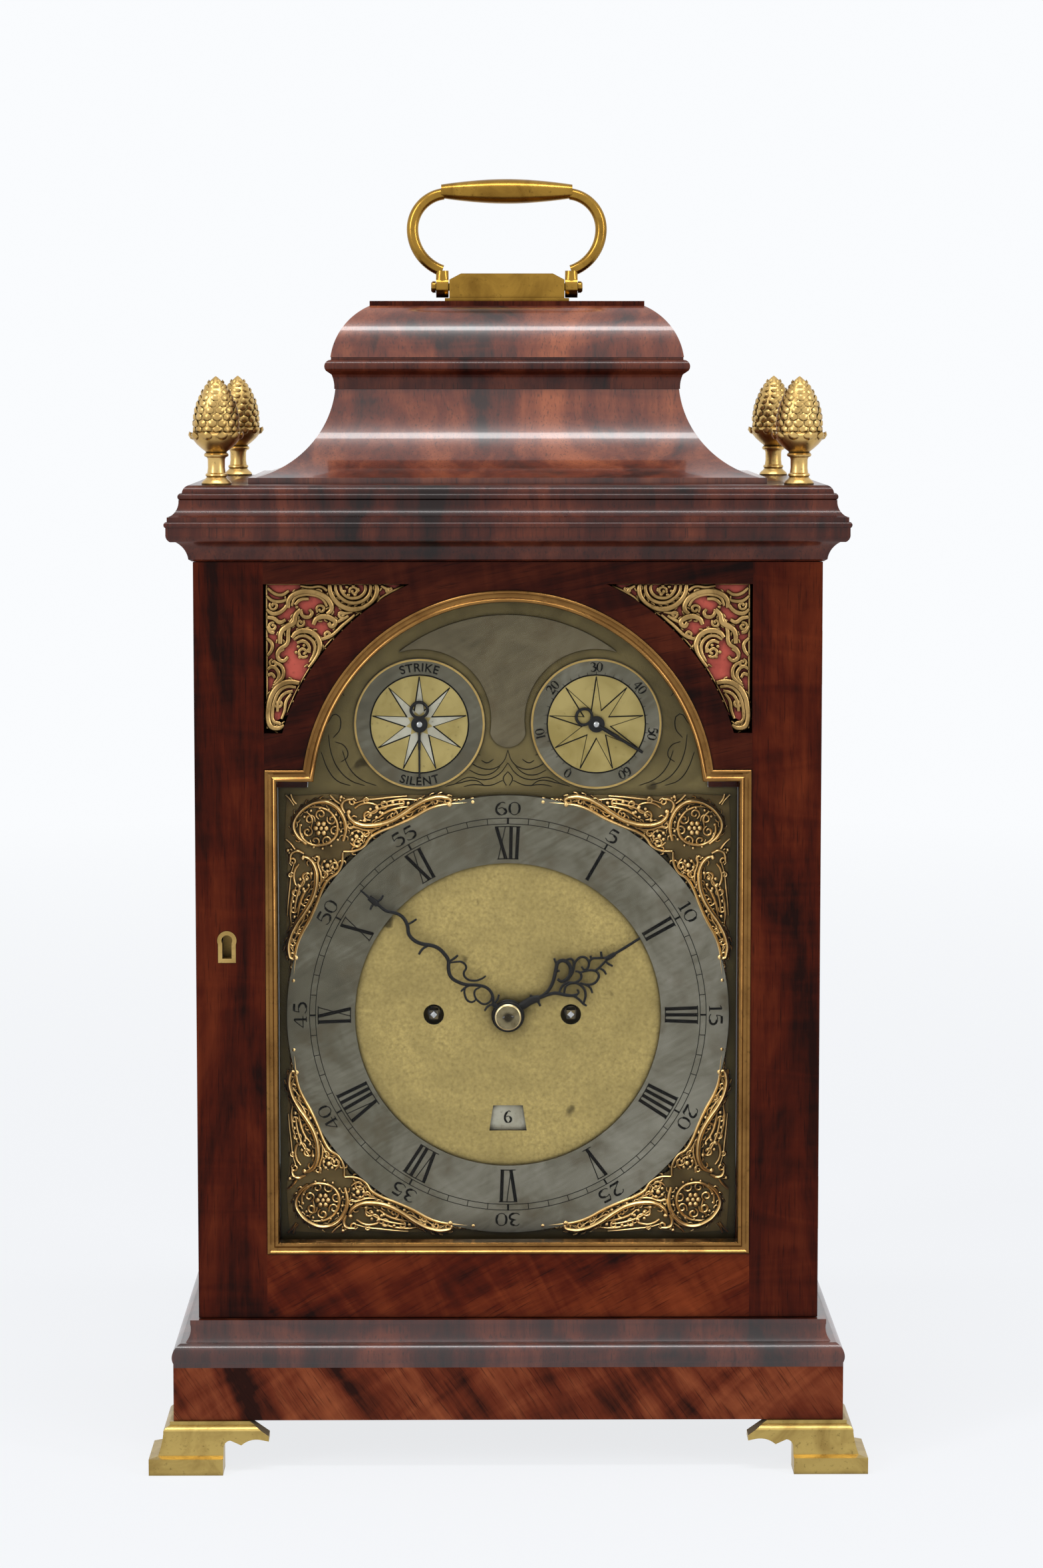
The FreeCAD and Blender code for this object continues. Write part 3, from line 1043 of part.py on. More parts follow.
def hand(name, low, outline, rounds, turn, x, z, boss=(), pipe=None):
    """A flat hand drawn pointing up from its own axis, then set to where it points."""
    blade = new_body("blade")
    pad(blade, "XZ", [outline], low, low + " + hand_thick", rounds)
    if boss:
        pad(blade, "XZ", [], boss[1], boss[2], boss[0])
    if pipe:
        pocket(blade, "XZ", [], pipe[1], pipe[2], pipe[0])
    blade.Placement = FreeCAD.Placement(Vector(), Rotation(Vector(0, 1, 0), value(turn)))
    tie(blade, "Placement.Rotation.Angle", turn + " * 1 deg")
    return node(name, place(blade, x, "0", z))


def make_hands():
    """Blued steel hands: the hour and minute hands, and one for each small dial."""
    ring = DIAL_FRONT + " - ring_thick"
    low = "(%s - hour_lift)" % ring
    inner = "(centre_arbor + pivot_gap + cannon_wall + pivot_gap + pipe_wall)"
    hand("hour_hand", low, [
        ("-1.6", "0"), ("1.6", "0"), ("2.4", "hour_eye_at - hour_eye - 2"),
        ("hour_eye + 4", "hour_eye_at", "9"), ("2.6", "hour_eye_at + hour_eye + 4", "12"),
        ("1.6", "hour_eye_at + hour_eye + 10", "-8"), ("0", "hour_long"),
        ("-1.6", "hour_eye_at + hour_eye + 10"), ("-2.6", "hour_eye_at + hour_eye + 4", "-8"),
        ("-hour_eye - 4", "hour_eye_at", "12"), ("-2.4", "hour_eye_at - hour_eye - 2", "9")],
         [("0", "hour_eye_at", "hour_eye - 2")], "hour_turn", "0", CENTRE_HIGH,
         ([("0", "0", "hour_boss")], low, low + " + hand_thick * 1.5"),
         ([("0", "0", inner)], low, low + " + hand_thick * 1.5"))
    low = "(%s - minute_lift)" % ring
    inner = "(centre_arbor + pivot_gap + cannon_wall)"
    hand("minute_hand", low, [("-1.4", "0"), ("1.4", "0"), ("1.9", "minute_eye_at - 8"),
                              ("minute_eye + 1.8", "minute_eye_at", "9"), ("1.8", "minute_eye_at + 8", "9"),
                              ("3", "minute_eye_at + 16", "-20"), ("1", "minute_eye_at + 28", "14"),
                              ("0", "minute_long"), ("-1", "minute_eye_at + 28"),
                              ("-3", "minute_eye_at + 16", "14"), ("-1.8", "minute_eye_at + 8", "-20"),
                              ("-minute_eye - 1.8", "minute_eye_at", "9"),
                              ("-1.9", "minute_eye_at - 8", "9")],
         [("0", "minute_eye_at", "minute_eye - 0.6")], "minute_turn", "0", CENTRE_HIGH,
         ([("0", "0", "minute_boss")], low, low + " + hand_thick * 1.5"),
         ([("0", "0", inner)], low, low + " + hand_thick * 1.5"))
    low = "(%s - sub_thick - 1.6)" % DIAL_FRONT
    for name, turn, side in (("strike_hand", "strike_turn", -1), ("regulation_hand", "regulation_turn", 1)):
        hand(name, low, [("-1", "0"), ("1", "0"), ("0.9", "sub_hand_long * 0.55"),
                         ("1.9", "sub_hand_long * 0.6"), ("0", "sub_hand_long"),
                         ("-1.9", "sub_hand_long * 0.6"), ("-0.9", "sub_hand_long * 0.55")],
             [], turn, "%d * sub_across" % side, SUB_HIGH,
             ([("0", "0", "pivot")], low + " - 0.6", DIAL_BACK + " + 1.5"))
        loop = NODES[name]
        pad(loop, "XZ", [], low, low + " + hand_thick", [("0", "0", "2.4")])
        eye_at = "-sub_hand_eye - 1.6"
        pad(loop, "XZ", [], low, low + " + hand_thick",
            [("0", eye_at, "sub_hand_eye + 0.9"), ("0", eye_at, "sub_hand_eye - 0.4")])


# ---------------------------------------------------------------- the movement

def make_frame():
    """Front and back plates with every pivot hole, and the pillars, posts and studs fixed to them."""
    front, inner = value(PLATE_FRONT), value(PLATE_INNER)
    rear, back = value(REAR_INNER), value(REAR_BACK)
    wide, high = value("movement_wide"), value("movement_high")
    low = value(MOVEMENT_LOW)
    gap = value("pivot_gap")
    pivot = value("pivot") + gap
    fusee = value("fusee_arbor") + gap
    spots = arbors()
    fusee_end = value("fusee_pivot") + gap
    centre = value("centre_arbor") + gap
    holes = {
        "going_fusee": (fusee, fusee_end), "strike_fusee": (fusee, fusee_end), "centre": (centre, centre),
        "third": (pivot, pivot), "escape": (pivot, pivot), "pallets": (pivot, value("arbor") + gap),
        "hammer": (pivot, pivot), "minute_wheel": (pivot, None),
    }
    plates = []
    for index, (start, stop) in enumerate(((front, inner), (rear, back))):
        plate = Part.makeBox(wide, stop - start, high, Vector(-wide / 2, start, low))
        for name, sizes in holes.items():
            if sizes[index]:
                x, z = spots[name]
                plate = plate.cut(rod_along(sizes[index], start - 1, stop + 1, x, z))
        plates.append(plate)
    solids = plates
    corner = value("movement_wide / 2 - pillar_in")
    thick, foot = value("pillar"), value("pillar_foot")
    for x in (-corner, corner):
        for z in (low + value("pillar_in"), low + high - value("pillar_in")):
            belly = [Vector(0, 0, 0), Vector(thick, 0, 0), Vector(thick, foot, 0),
                     Vector(thick * 0.6, value("pillar_waist_at"), 0),
                     Vector(thick * 0.6, (rear - inner) / 2 - foot, 0),
                     Vector(thick * 1.2, (rear - inner) / 2, 0)]
            belly += [Vector(point.x, rear - inner - point.y, 0) for point in belly[-2::-1]]
            outline = Part.Face(Part.makePolygon(belly + belly[:1]))
            pillar = outline.revolve(Vector(), Vector(0, 1, 0), 360)
            pillar.translate(Vector(x, inner, z))
            solids.append(pillar)
    for name in ("going_barrel", "strike_barrel"):
        x, z = spots[name]
        solids.append(rod_along(value("barrel_arbor"), inner, rear, x, z))
    solids.append(bell_post(inner, rear, low + high))
    solids.append(back_cock(back, spots["pallets"][1]))
    feature("movement_frame", Part.makeCompound(solids))


def bell_post(inner, rear, top):
    """The cross bar at the top of the frame and the post on it, with the collar and nut for the bell."""
    middle = (inner + rear) / 2
    post = value("bell_post")
    bar_high = top - value("bell_bar_drop")
    bar = rod_along(value("bell_bar"), inner, rear, 0, bar_high)
    seat = value(BELL_SEAT)
    stem = Part.makeCylinder(post, seat + value("bell_post_over") - bar_high, Vector(0, middle, bar_high))
    collar_high = value("bell_collar")
    collar = Part.makeCylinder(post * 2, collar_high, Vector(0, middle, seat - collar_high))
    nut_low = seat + value("bell_thick")
    nut = Part.makeCylinder(post * 2, value("bell_nut"), Vector(0, middle, nut_low))
    return bar.fuse([stem, collar, nut])


def back_cock(back, high):
    """The bridge behind the back plate that carries the pendulum's pin."""
    half = value("cock_half")
    out = value("pendulum_back + eye_long / 2 + cock_clear")
    tall, leg = value("cock_high"), value("cock_leg")
    low = high - tall / 2
    bridge = Part.makeBox(2 * half, value("cock_thick"), tall, Vector(-half, back + out, low))
    legs = [Part.makeBox(leg, out, tall, Vector(x, back, low)) for x in (-half, half - leg)]
    pin = rod_along(value("pivot"), back + value("pendulum_back - eye_long / 2"), back + out + 1, 0, high)
    return bridge.fuse(legs + [pin])


def arbors():
    """Where each arbor of the movement stands, as (x, z)."""
    centre = value(CENTRE_HIGH)
    train = value("train_size * (centre_teeth + leaf_count) / 2")
    third_x = -value("third_left")
    third_z = centre + math.sqrt(train ** 2 - third_x ** 2)
    reach = value("third_size * (third_teeth + leaf_count) / 2")
    escape_z = third_z + math.sqrt(reach ** 2 - third_x ** 2)
    motion = value("motion_size * motion_teeth")
    low = centre - value("barrel_drop")
    return {
        "centre": (0.0, centre), "third": (third_x, third_z), "escape": (0.0, escape_z),
        "pallets": (0.0, escape_z + value("pallet_rise")),
        "going_fusee": (value("winding_right"), centre), "strike_fusee": (-value("winding_left"), centre),
        "going_barrel": (value("barrel_across"), low), "strike_barrel": (-value("barrel_across"), low),
        "minute_wheel": (0.0, centre - motion),
        "hammer": (-value("hammer_left"), centre + value("hammer_high")),
    }


def line_turn(one, other):
    """The angle of the line from one arbor to another, from +Z towards +X."""
    return math.atan2(other[0] - one[0], other[1] - one[1])


def make_trains():
    """The going train from fusee to escape wheel, the strike fusee, the barrels and the motion work."""
    spots = arbors()
    inner, rear = value(PLATE_INNER), value(REAR_INNER)
    thick, leaves = value("wheel_thick"), int(value("leaf_count"))
    great_low = rear - value("great_back")
    great_high = great_low + value("great_thick")
    face = value(DIAL_FRONT)

    # each pair is set in mesh on the line of its centres: a tooth of the wheel in a gap of the pinion
    shoulder = value("fusee_shoulder")
    cone_low = great_low - shoulder - value("fusee_long")
    square = value("winding_square")
    for name in ("going_fusee", "strike_fusee"):
        line = math.degrees(line_turn(spots[name], spots["centre"]))
        wheel = toothed(int(value("great_teeth")), value("tooth_size"), great_low, great_high, lead=line)
        end = Part.makeBox(square, value("square_long"), square,
                           Vector(-square / 2, face - value("square_proud"), -square / 2))
        front_end = rod_along(value("fusee_arbor"), face + value("square_root"), cone_low)
        back_end = rod_along(value("fusee_pivot"), great_high, rear + value("pivot_long"))
        whole = wheel.fuse([fusee_cone(cone_low, great_low), front_end, back_end, end])
        feature(name, whole, spots[name][0], 0, spots[name][1])

    bore = value("barrel_arbor + pivot_gap")
    radius, lip = value("barrel_radius"), value("barrel_lip")
    for name in ("going_barrel", "strike_barrel"):
        drum = rod_along(radius - lip, cone_low, great_low)
        rims = [rod_along(radius, cone_low, cone_low + thick),
                rod_along(radius, great_low - thick, great_low)]
        drum = drum.fuse(rims).cut(rod_along(bore, cone_low - 1, great_low + 1))
        feature(name, drum, spots[name][0], 0, spots[name][1])

    train = value("train_size")
    over = value("pinion_over")
    centre_low = inner + value("centre_at")
    line = math.degrees(line_turn(spots["centre"], spots["third"]))
    wheel = toothed(int(value("centre_teeth")), train, centre_low, centre_low + thick, arms=4, lead=line)
    line = math.degrees(line_turn(spots["centre"], spots["going_fusee"]))
    pinion = toothed(leaves, value("tooth_size"), great_low - over, great_high + over,
                     lead=line + 180.0 / leaves)
    collet_back = face - value("ring_thick + minute_lift + fit_gap")
    collet_front = collet_back - value("collet_long")
    collet = rod_along(value("collet_radius"), collet_front, collet_back)
    shaft = rod_along(value("centre_arbor"), collet_front - value("arbor_proud"), rear + value("pivot_long"))
    feature("centre_arbor", wheel.fuse([pinion, shaft, collet]), spots["centre"][0], 0, spots["centre"][1])

    third_low = centre_low + thick + value("third_at")
    back = math.degrees(line_turn(spots["third"], spots["centre"]))
    line = math.degrees(line_turn(spots["third"], spots["escape"]))
    wheel = toothed(int(value("third_teeth")), value("third_size"), third_low, third_low + thick,
                    arms=4, lead=line)
    pinion = toothed(leaves, train, centre_low - over, third_low, lead=back + 180.0 / leaves)
    whole = wheel.fuse([pinion, spindle(value("spindle"))])
    feature("third_wheel", whole, spots["third"][0], 0, spots["third"][1])

    escape_low = third_low + thick + value("escape_at")
    back = math.degrees(line_turn(spots["escape"], spots["third"]))
    pinion = toothed(leaves, value("third_size"), third_low - over, escape_low, lead=back + 180.0 / leaves)
    whole = escape_wheel(escape_low, escape_low + thick).fuse([pinion, spindle(value("spindle"))])
    feature("escape_wheel", whole, spots["escape"][0], 0, spots["escape"][1])
    make_pallets(spots, escape_low, thick)
    make_motion_work(spots)


def spindle(radius):
    """An arbor between the plates with its two pivots."""
    inner, rear = value(PLATE_INNER), value(REAR_INNER)
    long = value("pivot_long")
    return rod_along(radius, inner, rear).fuse(rod_along(value("pivot"), inner - long, rear + long))


def fusee_cone(low, high):
    """The fusee: a hollow-sided cone on a plain shoulder, turned about Y."""
    small, large = value("fusee_small"), value("fusee_large")
    top = high - value("fusee_shoulder")
    waist = small + (large - small) * 0.38
    flank = Part.Arc(Vector(small, low, 0), Vector(waist, (low + top) / 2, 0), Vector(large, top, 0))
    flank = flank.toShape()
    edges = [Part.makeLine(Vector(0, low, 0), Vector(small, low, 0)), flank,
             Part.makeLine(Vector(large, top, 0), Vector(large, high, 0)),
             Part.makeLine(Vector(large, high, 0), Vector(0, high, 0)),
             Part.makeLine(Vector(0, high, 0), Vector(0, low, 0))]
    return Part.Face(Part.Wire(edges)).revolve(Vector(), Vector(0, 1, 0), 360)


def escape_wheel(low, high):
    """Pointed teeth that lean with the turn, on a rim with four arms."""
    teeth = int(value("escape_teeth"))
    outer, depth = value("escape_radius"), value("escape_depth")
    step = 2 * math.pi / teeth
    corners = []
    for tooth in range(teeth):
        for share, radius in ((0.0, outer - depth), (0.42, outer), (0.5, outer), (0.55, outer - depth)):
            angle = (tooth + share) * step
            corners.append(Vector(radius * math.sin(angle), low, radius * math.cos(angle)))
    wheel = Part.Face(Part.makePolygon(corners + corners[:1])).extrude(Vector(0, high - low, 0))
    return wheel.cut(crossings(outer - depth - 2.2, 3.4, 4, low, high))


def make_pallets(spots, low, thick):
    """The anchor over the escape wheel, its arbor, and the crutch behind the back plate."""
    rise, outer = value("pallet_rise"), value("escape_radius")
    clear = value("pallet_clear")
    nib_turn = math.acos(outer / rise)
    solids = [rod_along(value("pivot"), value(PLATE_FRONT), value(PLATE_INNER) + 1),
              rod_along(value("arbor"), value(PLATE_INNER), value(REAR_BACK) + value("pendulum_back") / 2),
              rod_along(value("pallet_hub"), low - 1, low + thick + 1)]
    for side in (-1, 1):
        reach = outer + clear
        nib = Vector(side * reach * math.sin(nib_turn), low, reach * math.cos(nib_turn) - rise)
        out = Vector(nib.x, 0, nib.z).normalize()
        across = Vector(-out.z, 0, out.x)
        root, tip = across * value("pallet_root"), across * value("pallet_tip")
        middle, lean = Vector(0, low, 0), Vector(side * value("pallet_lean"), 0, 0)
        points = [middle + root, middle - root, nib - tip + lean, nib, nib + tip + lean]
        arm = Part.Face(Part.makePolygon(points + points[:1])).extrude(Vector(0, thick, 0))
        solids.append(arm)
    back = value(REAR_BACK)
    wire = value("crutch_wire")
    drop = value("crutch_drop")
    wide, thin, foot = value("crutch_wide"), value("crutch_thick"), value("crutch_foot")
    crutch_at = back + value("pendulum_back") / 2 - thin
    solids.append(Part.makeBox(wide, thin, drop, Vector(-wide / 2, crutch_at, -drop)))
    solids.append(Part.makeBox(foot, thin, wide, Vector(-foot / 2, crutch_at, -drop)))
    prong = value("rod + pivot_gap * 4") + wire
    prong_end = back + value("pendulum_back + crutch_reach")
    for side in (-1, 1):
        solids.append(rod_along(wire, crutch_at, prong_end, side * prong, wide / 2 - drop))
    feature("pallets", solids[0].fuse(solids[1:]), spots["pallets"][0], 0, spots["pallets"][1])


def make_motion_work(spots):
    """Cannon pinion, minute wheel and hour wheel between the dial and the front plate."""
    front = value(PLATE_FRONT)
    thick = value("wheel_thick")
    gap = value("pivot_gap")
    teeth = int(value("motion_teeth"))
    leaves = int(value("leaf_count"))
    size = value("motion_size")
    ring = value(DIAL_FRONT) - value("ring_thick")
    cannon_bore = value("centre_arbor") + gap
    cannon_outer = cannon_bore + value("cannon_wall")
    low = front - 1 - thick
    minute_tip = ring - value("minute_lift")
    line = line_turn(spots["centre"], spots["minute_wheel"])
    wheel = toothed(teeth, size, low, low + thick, lead=math.degrees(line))
    cannon = wheel.fuse(rod_along(cannon_outer, minute_tip, low + thick))
    cannon = cannon.cut(rod_along(cannon_bore, minute_tip - 1, front))
    feature("cannon_pinion", cannon, spots["centre"][0], 0, spots["centre"][1])

    line_back = line_turn(spots["minute_wheel"], spots["centre"])
    wheel = toothed(teeth, size, low, low + thick, lead=math.degrees(line_back) + 180.0 / teeth)
    hour_high = low - 1
    pinion = toothed(leaves, value("hour_size"), hour_high - thick - 0.6, low,
                     lead=math.degrees(line_back) + 180.0 / leaves)
    post = rod_along(value("pivot"), low + thick, value(PLATE_INNER))
    across, up = spots["minute_wheel"]
    feature("minute_wheel", wheel.fuse([pinion, post]), across, 0, up)

    bore = cannon_outer + gap
    outer = bore + value("pipe_wall")
    hour_tip = ring - value("hour_lift") - 0.2
    wheel = toothed(int(value("hour_teeth")), value("hour_size"), hour_high - thick, hour_high,
                    lead=math.degrees(line))
    hour = wheel.fuse(rod_along(outer, hour_tip, hour_high)).cut(rod_along(bore, hour_tip - 1, hour_high + 1))
    feature("hour_wheel", hour, spots["centre"][0], 0, spots["centre"][1])


BELL_SEAT = "(%s + bell_lift + bell_high - bell_thick)" % MOVEMENT_TOP[1:-1]


def make_pendulum_and_bell():
    """The pendulum on its pin, and the bell over the frame with its hammer."""
    spots = arbors()
    pivot_x, pivot_z = spots["pallets"]
    middle = value(REAR_BACK) + value("pendulum_back")
    eye_outer = value("pivot + pivot_gap + eye_wall")
    half = value("eye_long") / 2
    long = value("pendulum_long")
    bob, bob_thick = value("bob"), value("bob_thick")
    eye = rod_along(eye_outer, middle - half, middle + half)
    foot = long + bob + value("rod_over")
    rod = Part.makeCylinder(value("rod"), foot, Vector(0, middle, -foot))
    rod = rod.cut(rod_along(value("pivot") + 0.5, middle - 5, middle + 5))
    front, back, rim = Vector(0, -bob_thick / 2, 0), Vector(0, bob_thick / 2, 0), Vector(bob, 0, 0)
    front_face = Part.Arc(front, Vector(bob * 0.72, -bob_thick * 0.3, 0), rim).toShape()
    back_face = Part.Arc(rim, Vector(bob * 0.72, bob_thick * 0.3, 0), back).toShape()
    half_lens = Part.Face(Part.Wire([front_face, back_face, Part.makeLine(back, front)]))
    lens = half_lens.revolve(Vector(), Vector(0, 1, 0), 360)
    lens.translate(Vector(0, middle, -long))
    nut_high = value("bob_nut_high")
    nut = Part.makeCylinder(value("bob_nut"), nut_high, Vector(0, middle, -long - bob - nut_high - 0.2))
    whole = eye.fuse([rod, lens, nut]).cut(rod_along(value("pivot + pivot_gap"), middle - 9, middle + 9))
    feature("pendulum", whole, pivot_x, 0, pivot_z)

    bell = new_body("bell")
    turned(bell, [("bell_post + pivot_gap", "0"), ("bell_crown", "0"),
                  ("bell_radius * 0.5", "-bell_thick * 0.6", "-60"),
                  ("bell_radius - bell_thick * 2.2", "-bell_high * 0.55", "-bell_radius * 0.62"),
                  ("bell_radius - bell_thick", "-bell_high + bell_thick"),
                  ("bell_radius", "-bell_high + bell_thick"),
                  ("bell_radius - bell_thick * 1.1", "-bell_high * 0.5 + bell_thick * 0.4"),
                  ("bell_radius * 0.52", "bell_thick * 0.5", "bell_radius * 0.66"),
                  ("bell_crown", "bell_thick", "62"), ("bell_post + pivot_gap", "bell_thick")])
    node("bell", place(bell, "0", "(%s + %s) / 2" % (PLATE_INNER, REAR_INNER), BELL_SEAT))

    x, z = spots["hammer"]
    middle = value("(%s + %s) / 2" % (PLATE_INNER, REAR_INNER))
    rear = value(REAR_INNER)
    arm_long = value(BELL_SEAT) - value("bell_high - hammer_over") - z
    head_end = value("hammer_left - bell_radius - hammer_gap")
    wide, deep, head_long = value("hammer_arm"), value("hammer_arm_deep"), value("hammer_head_long")
    arm = Part.makeBox(wide, deep, arm_long + 2, Vector(-wide / 2, middle - deep / 2, 0))
    head = Part.makeCylinder(value("hammer_head"), head_long,
                             Vector(head_end - head_long, middle, arm_long), Vector(1, 0, 0))
    tail = Part.makeBox(value("hammer_tail_long"), value("hammer_tail_wide"), wide,
                        Vector(0, rear - value("hammer_tail_at"), -wide / 2))
    feature("hammer", spindle(value("arbor")).fuse([arm, head, tail]), x, 0, z)


# ---------------------------------------------------------------- build, check and write

make_feet()
make_base()
make_sides()
make_top()
make_handle()
make_door()
make_back_door()
make_dial()
make_hands()
make_frame()
make_trains()
make_pendulum_and_bell()
doc.recompute()

for thing in doc.Objects:
    if "Invalid" in thing.State or "Error" in thing.State:
        raise RuntimeError("%s (%s) failed: %s" % (thing.Name, thing.Label, thing.State))

os.makedirs("parts", exist_ok=True)
for name, thing in NODES.items():
    shape = thing.Shape
    if shape.isNull() or not shape.isValid() or not shape.Solids:
        raise RuntimeError("%s has no sound solid" % name)
    shape.exportStep("parts/%s.step" % name)
print("%d nodes, %d solids" % (len(NODES), sum(len(thing.Shape.Solids) for thing in NODES.values())))
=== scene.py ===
"""The looks of the bracket clock: polished mahogany, old brass, a silvered chapter ring and blued hands.

Metres, +Z up, the dial faces -Y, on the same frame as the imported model.
"""
import json
import math

import bmesh
import bpy
from mathutils import Matrix, Vector


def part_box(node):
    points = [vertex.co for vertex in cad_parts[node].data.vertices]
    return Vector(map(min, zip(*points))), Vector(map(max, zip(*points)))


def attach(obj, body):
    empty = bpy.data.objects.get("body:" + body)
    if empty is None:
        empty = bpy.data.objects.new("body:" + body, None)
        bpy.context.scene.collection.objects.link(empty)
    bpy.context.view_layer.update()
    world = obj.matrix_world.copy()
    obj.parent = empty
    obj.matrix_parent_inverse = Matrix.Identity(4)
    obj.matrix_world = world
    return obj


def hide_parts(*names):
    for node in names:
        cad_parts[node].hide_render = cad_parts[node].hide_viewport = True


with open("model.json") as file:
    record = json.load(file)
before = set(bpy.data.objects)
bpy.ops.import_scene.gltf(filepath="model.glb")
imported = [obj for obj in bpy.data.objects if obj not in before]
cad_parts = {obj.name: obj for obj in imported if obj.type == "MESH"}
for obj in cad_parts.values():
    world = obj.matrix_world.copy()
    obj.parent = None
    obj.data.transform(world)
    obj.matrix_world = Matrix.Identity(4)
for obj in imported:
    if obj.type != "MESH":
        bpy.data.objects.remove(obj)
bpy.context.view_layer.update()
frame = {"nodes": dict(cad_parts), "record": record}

MM = 0.001
DIAL = (0.0, 173.5)          # the middle of the dial, in mm across and up
NODES = frame["nodes"]
BODY_OF = {node: body for body, nodes in frame["record"]["behaviour"]["bodies"].items() for node in nodes}
SLOT_OF = {part["node"]: part["material_slot"] for part in frame["record"]["subparts"]}


# ---------------------------------------------------------------- camera, light and floor

CAMERA_PLACE = (-0.0092, -1.625, 0.4233)
CAMERA_PITCH, CAMERA_YAW = math.radians(84.18), math.radians(-0.53)
LENS, FILM = 93.2, 36.0
BACKGROUND = (0.955, 0.97, 0.99, 1.0)
FLOOR_WHITE = (0.80, 0.81, 0.84, 1.0)
FLOOR_HALF, WALL_AWAY, WALL_HIGH = 6.0, 5.0, 5.0


def set_camera():
    bpy.ops.object.camera_add(location=CAMERA_PLACE, rotation=(CAMERA_PITCH, 0.0, CAMERA_YAW))
    camera = bpy.context.object
    camera.name = "camera"
    camera.data.sensor_fit = "VERTICAL"
    camera.data.sensor_height = FILM
    camera.data.lens = LENS
    camera.data.clip_end = 20.0
    bpy.context.scene.camera = camera


def softbox(name, place, aim, wide, high, power):
    """A rectangular lamp that faces a point of the clock."""
    away = Vector(aim) - Vector(place)
    bpy.ops.object.light_add(type="AREA", location=place, rotation=away.to_track_quat("-Z", "Y").to_euler())
    lamp = bpy.context.object
    lamp.name = name
    lamp.data.shape = "RECTANGLE"
    lamp.data.size, lamp.data.size_y = wide, high
    lamp.data.energy = power


def set_light():
    aim = (0.0, 0.0, 0.27)
    softbox("lamp_left", (-1.5, -1.4, 1.1), aim, 0.28, 1.3, 15.0)
    softbox("lamp_right", (1.6, -1.1, 0.8), aim, 0.22, 1.2, 9.0)
    softbox("lamp_top", (0.0, -0.6, 1.9), aim, 1.3, 0.22, 14.0)
    world = bpy.data.worlds.new("studio")
    world.use_nodes = True
    bpy.context.scene.world = world
    nodes, links = world.node_tree.nodes, world.node_tree.links
    seen = shown_ray(nodes, links)
    dim, bright = nodes["Background"], nodes.new("ShaderNodeBackground")
    dim.inputs["Color"].default_value = (0.85, 0.90, 1.0, 1.0)
    dim.inputs["Strength"].default_value = 0.42
    bright.inputs["Color"].default_value = BACKGROUND
    mix = nodes.new("ShaderNodeMixShader")
    links.new(seen, mix.inputs[0])
    links.new(dim.outputs[0], mix.inputs[1])
    links.new(bright.outputs[0], mix.inputs[2])
    links.new(mix.outputs[0], nodes["World Output"].inputs["Surface"])


def shown_ray(nodes, links):
    """1 for rays from the camera, and for those that a mirror or glass sends on."""
    path = nodes.new("ShaderNodeLightPath")
    total = path.outputs["Is Camera Ray"]
    for other in ("Is Glossy Ray", "Is Transmission Ray"):
        add = nodes.new("ShaderNodeMath")
        add.operation = "MAXIMUM"
        links.new(total, add.inputs[0])
        links.new(path.outputs[other], add.inputs[1])
        total = add.outputs[0]
    return total


def set_floor():
    """A pale floor that curves up into a wall behind the clock."""
    bpy.ops.mesh.primitive_plane_add(size=2 * FLOOR_HALF)
    floor = bpy.context.object
    floor.name = "floor"
    bpy.ops.object.mode_set(mode="EDIT")
    bpy.ops.mesh.select_all(action="DESELECT")
    mesh = bmesh.from_edit_mesh(floor.data)
    for edge in mesh.edges:
        edge.select = all(vert.co.y > 0 for vert in edge.verts)
    bmesh.update_edit_mesh(floor.data)
    bpy.ops.transform.translate(value=(0.0, WALL_AWAY - FLOOR_HALF, 0.0))
    bpy.ops.mesh.extrude_region_move(TRANSFORM_OT_translate={"value": (0.0, 0.0, WALL_HIGH)})
    bpy.ops.object.mode_set(mode="OBJECT")
    bend = floor.modifiers.new("bend", "BEVEL")
    bend.width, bend.segments = 1.0, 16
    bpy.ops.object.modifier_apply(modifier=bend.name)
    bpy.ops.object.shade_smooth()
    paint = bpy.data.materials.new("floor_paint")
    paint.use_nodes = True
    nodes, links = paint.node_tree.nodes, paint.node_tree.links
    nodes["Principled BSDF"].inputs["Base Color"].default_value = FLOOR_WHITE
    nodes["Principled BSDF"].inputs["Roughness"].default_value = 0.9
    glow = nodes.new("ShaderNodeEmission")
    glow.inputs["Color"].default_value = BACKGROUND
    share = nodes.new("ShaderNodeMath")
    share.operation = "MULTIPLY"
    place = nodes.new("ShaderNodeTexCoord")
    away = nodes.new("ShaderNodeVectorMath")
    away.operation = "LENGTH"
    links.new(place.outputs["Object"], away.inputs[0])
    fade = nodes.new("ShaderNodeMapRange")
    for name, value in (("From Min", 0.5), ("From Max", 2.2), ("To Min", 0.82), ("To Max", 1.0)):
        fade.inputs[name].default_value = value
    links.new(away.outputs["Value"], fade.inputs["Value"])
    links.new(fade.outputs["Result"], share.inputs[1])
    mix = nodes.new("ShaderNodeMixShader")
    links.new(shown_ray(nodes, links), share.inputs[0])
    links.new(share.outputs[0], mix.inputs[0])
    links.new(nodes["Principled BSDF"].outputs[0], mix.inputs[1])
    links.new(glow.outputs[0], mix.inputs[2])
    links.new(mix.outputs[0], nodes["Material Output"].inputs["Surface"])
    floor.data.materials.append(paint)


# ---------------------------------------------------------------- finishes

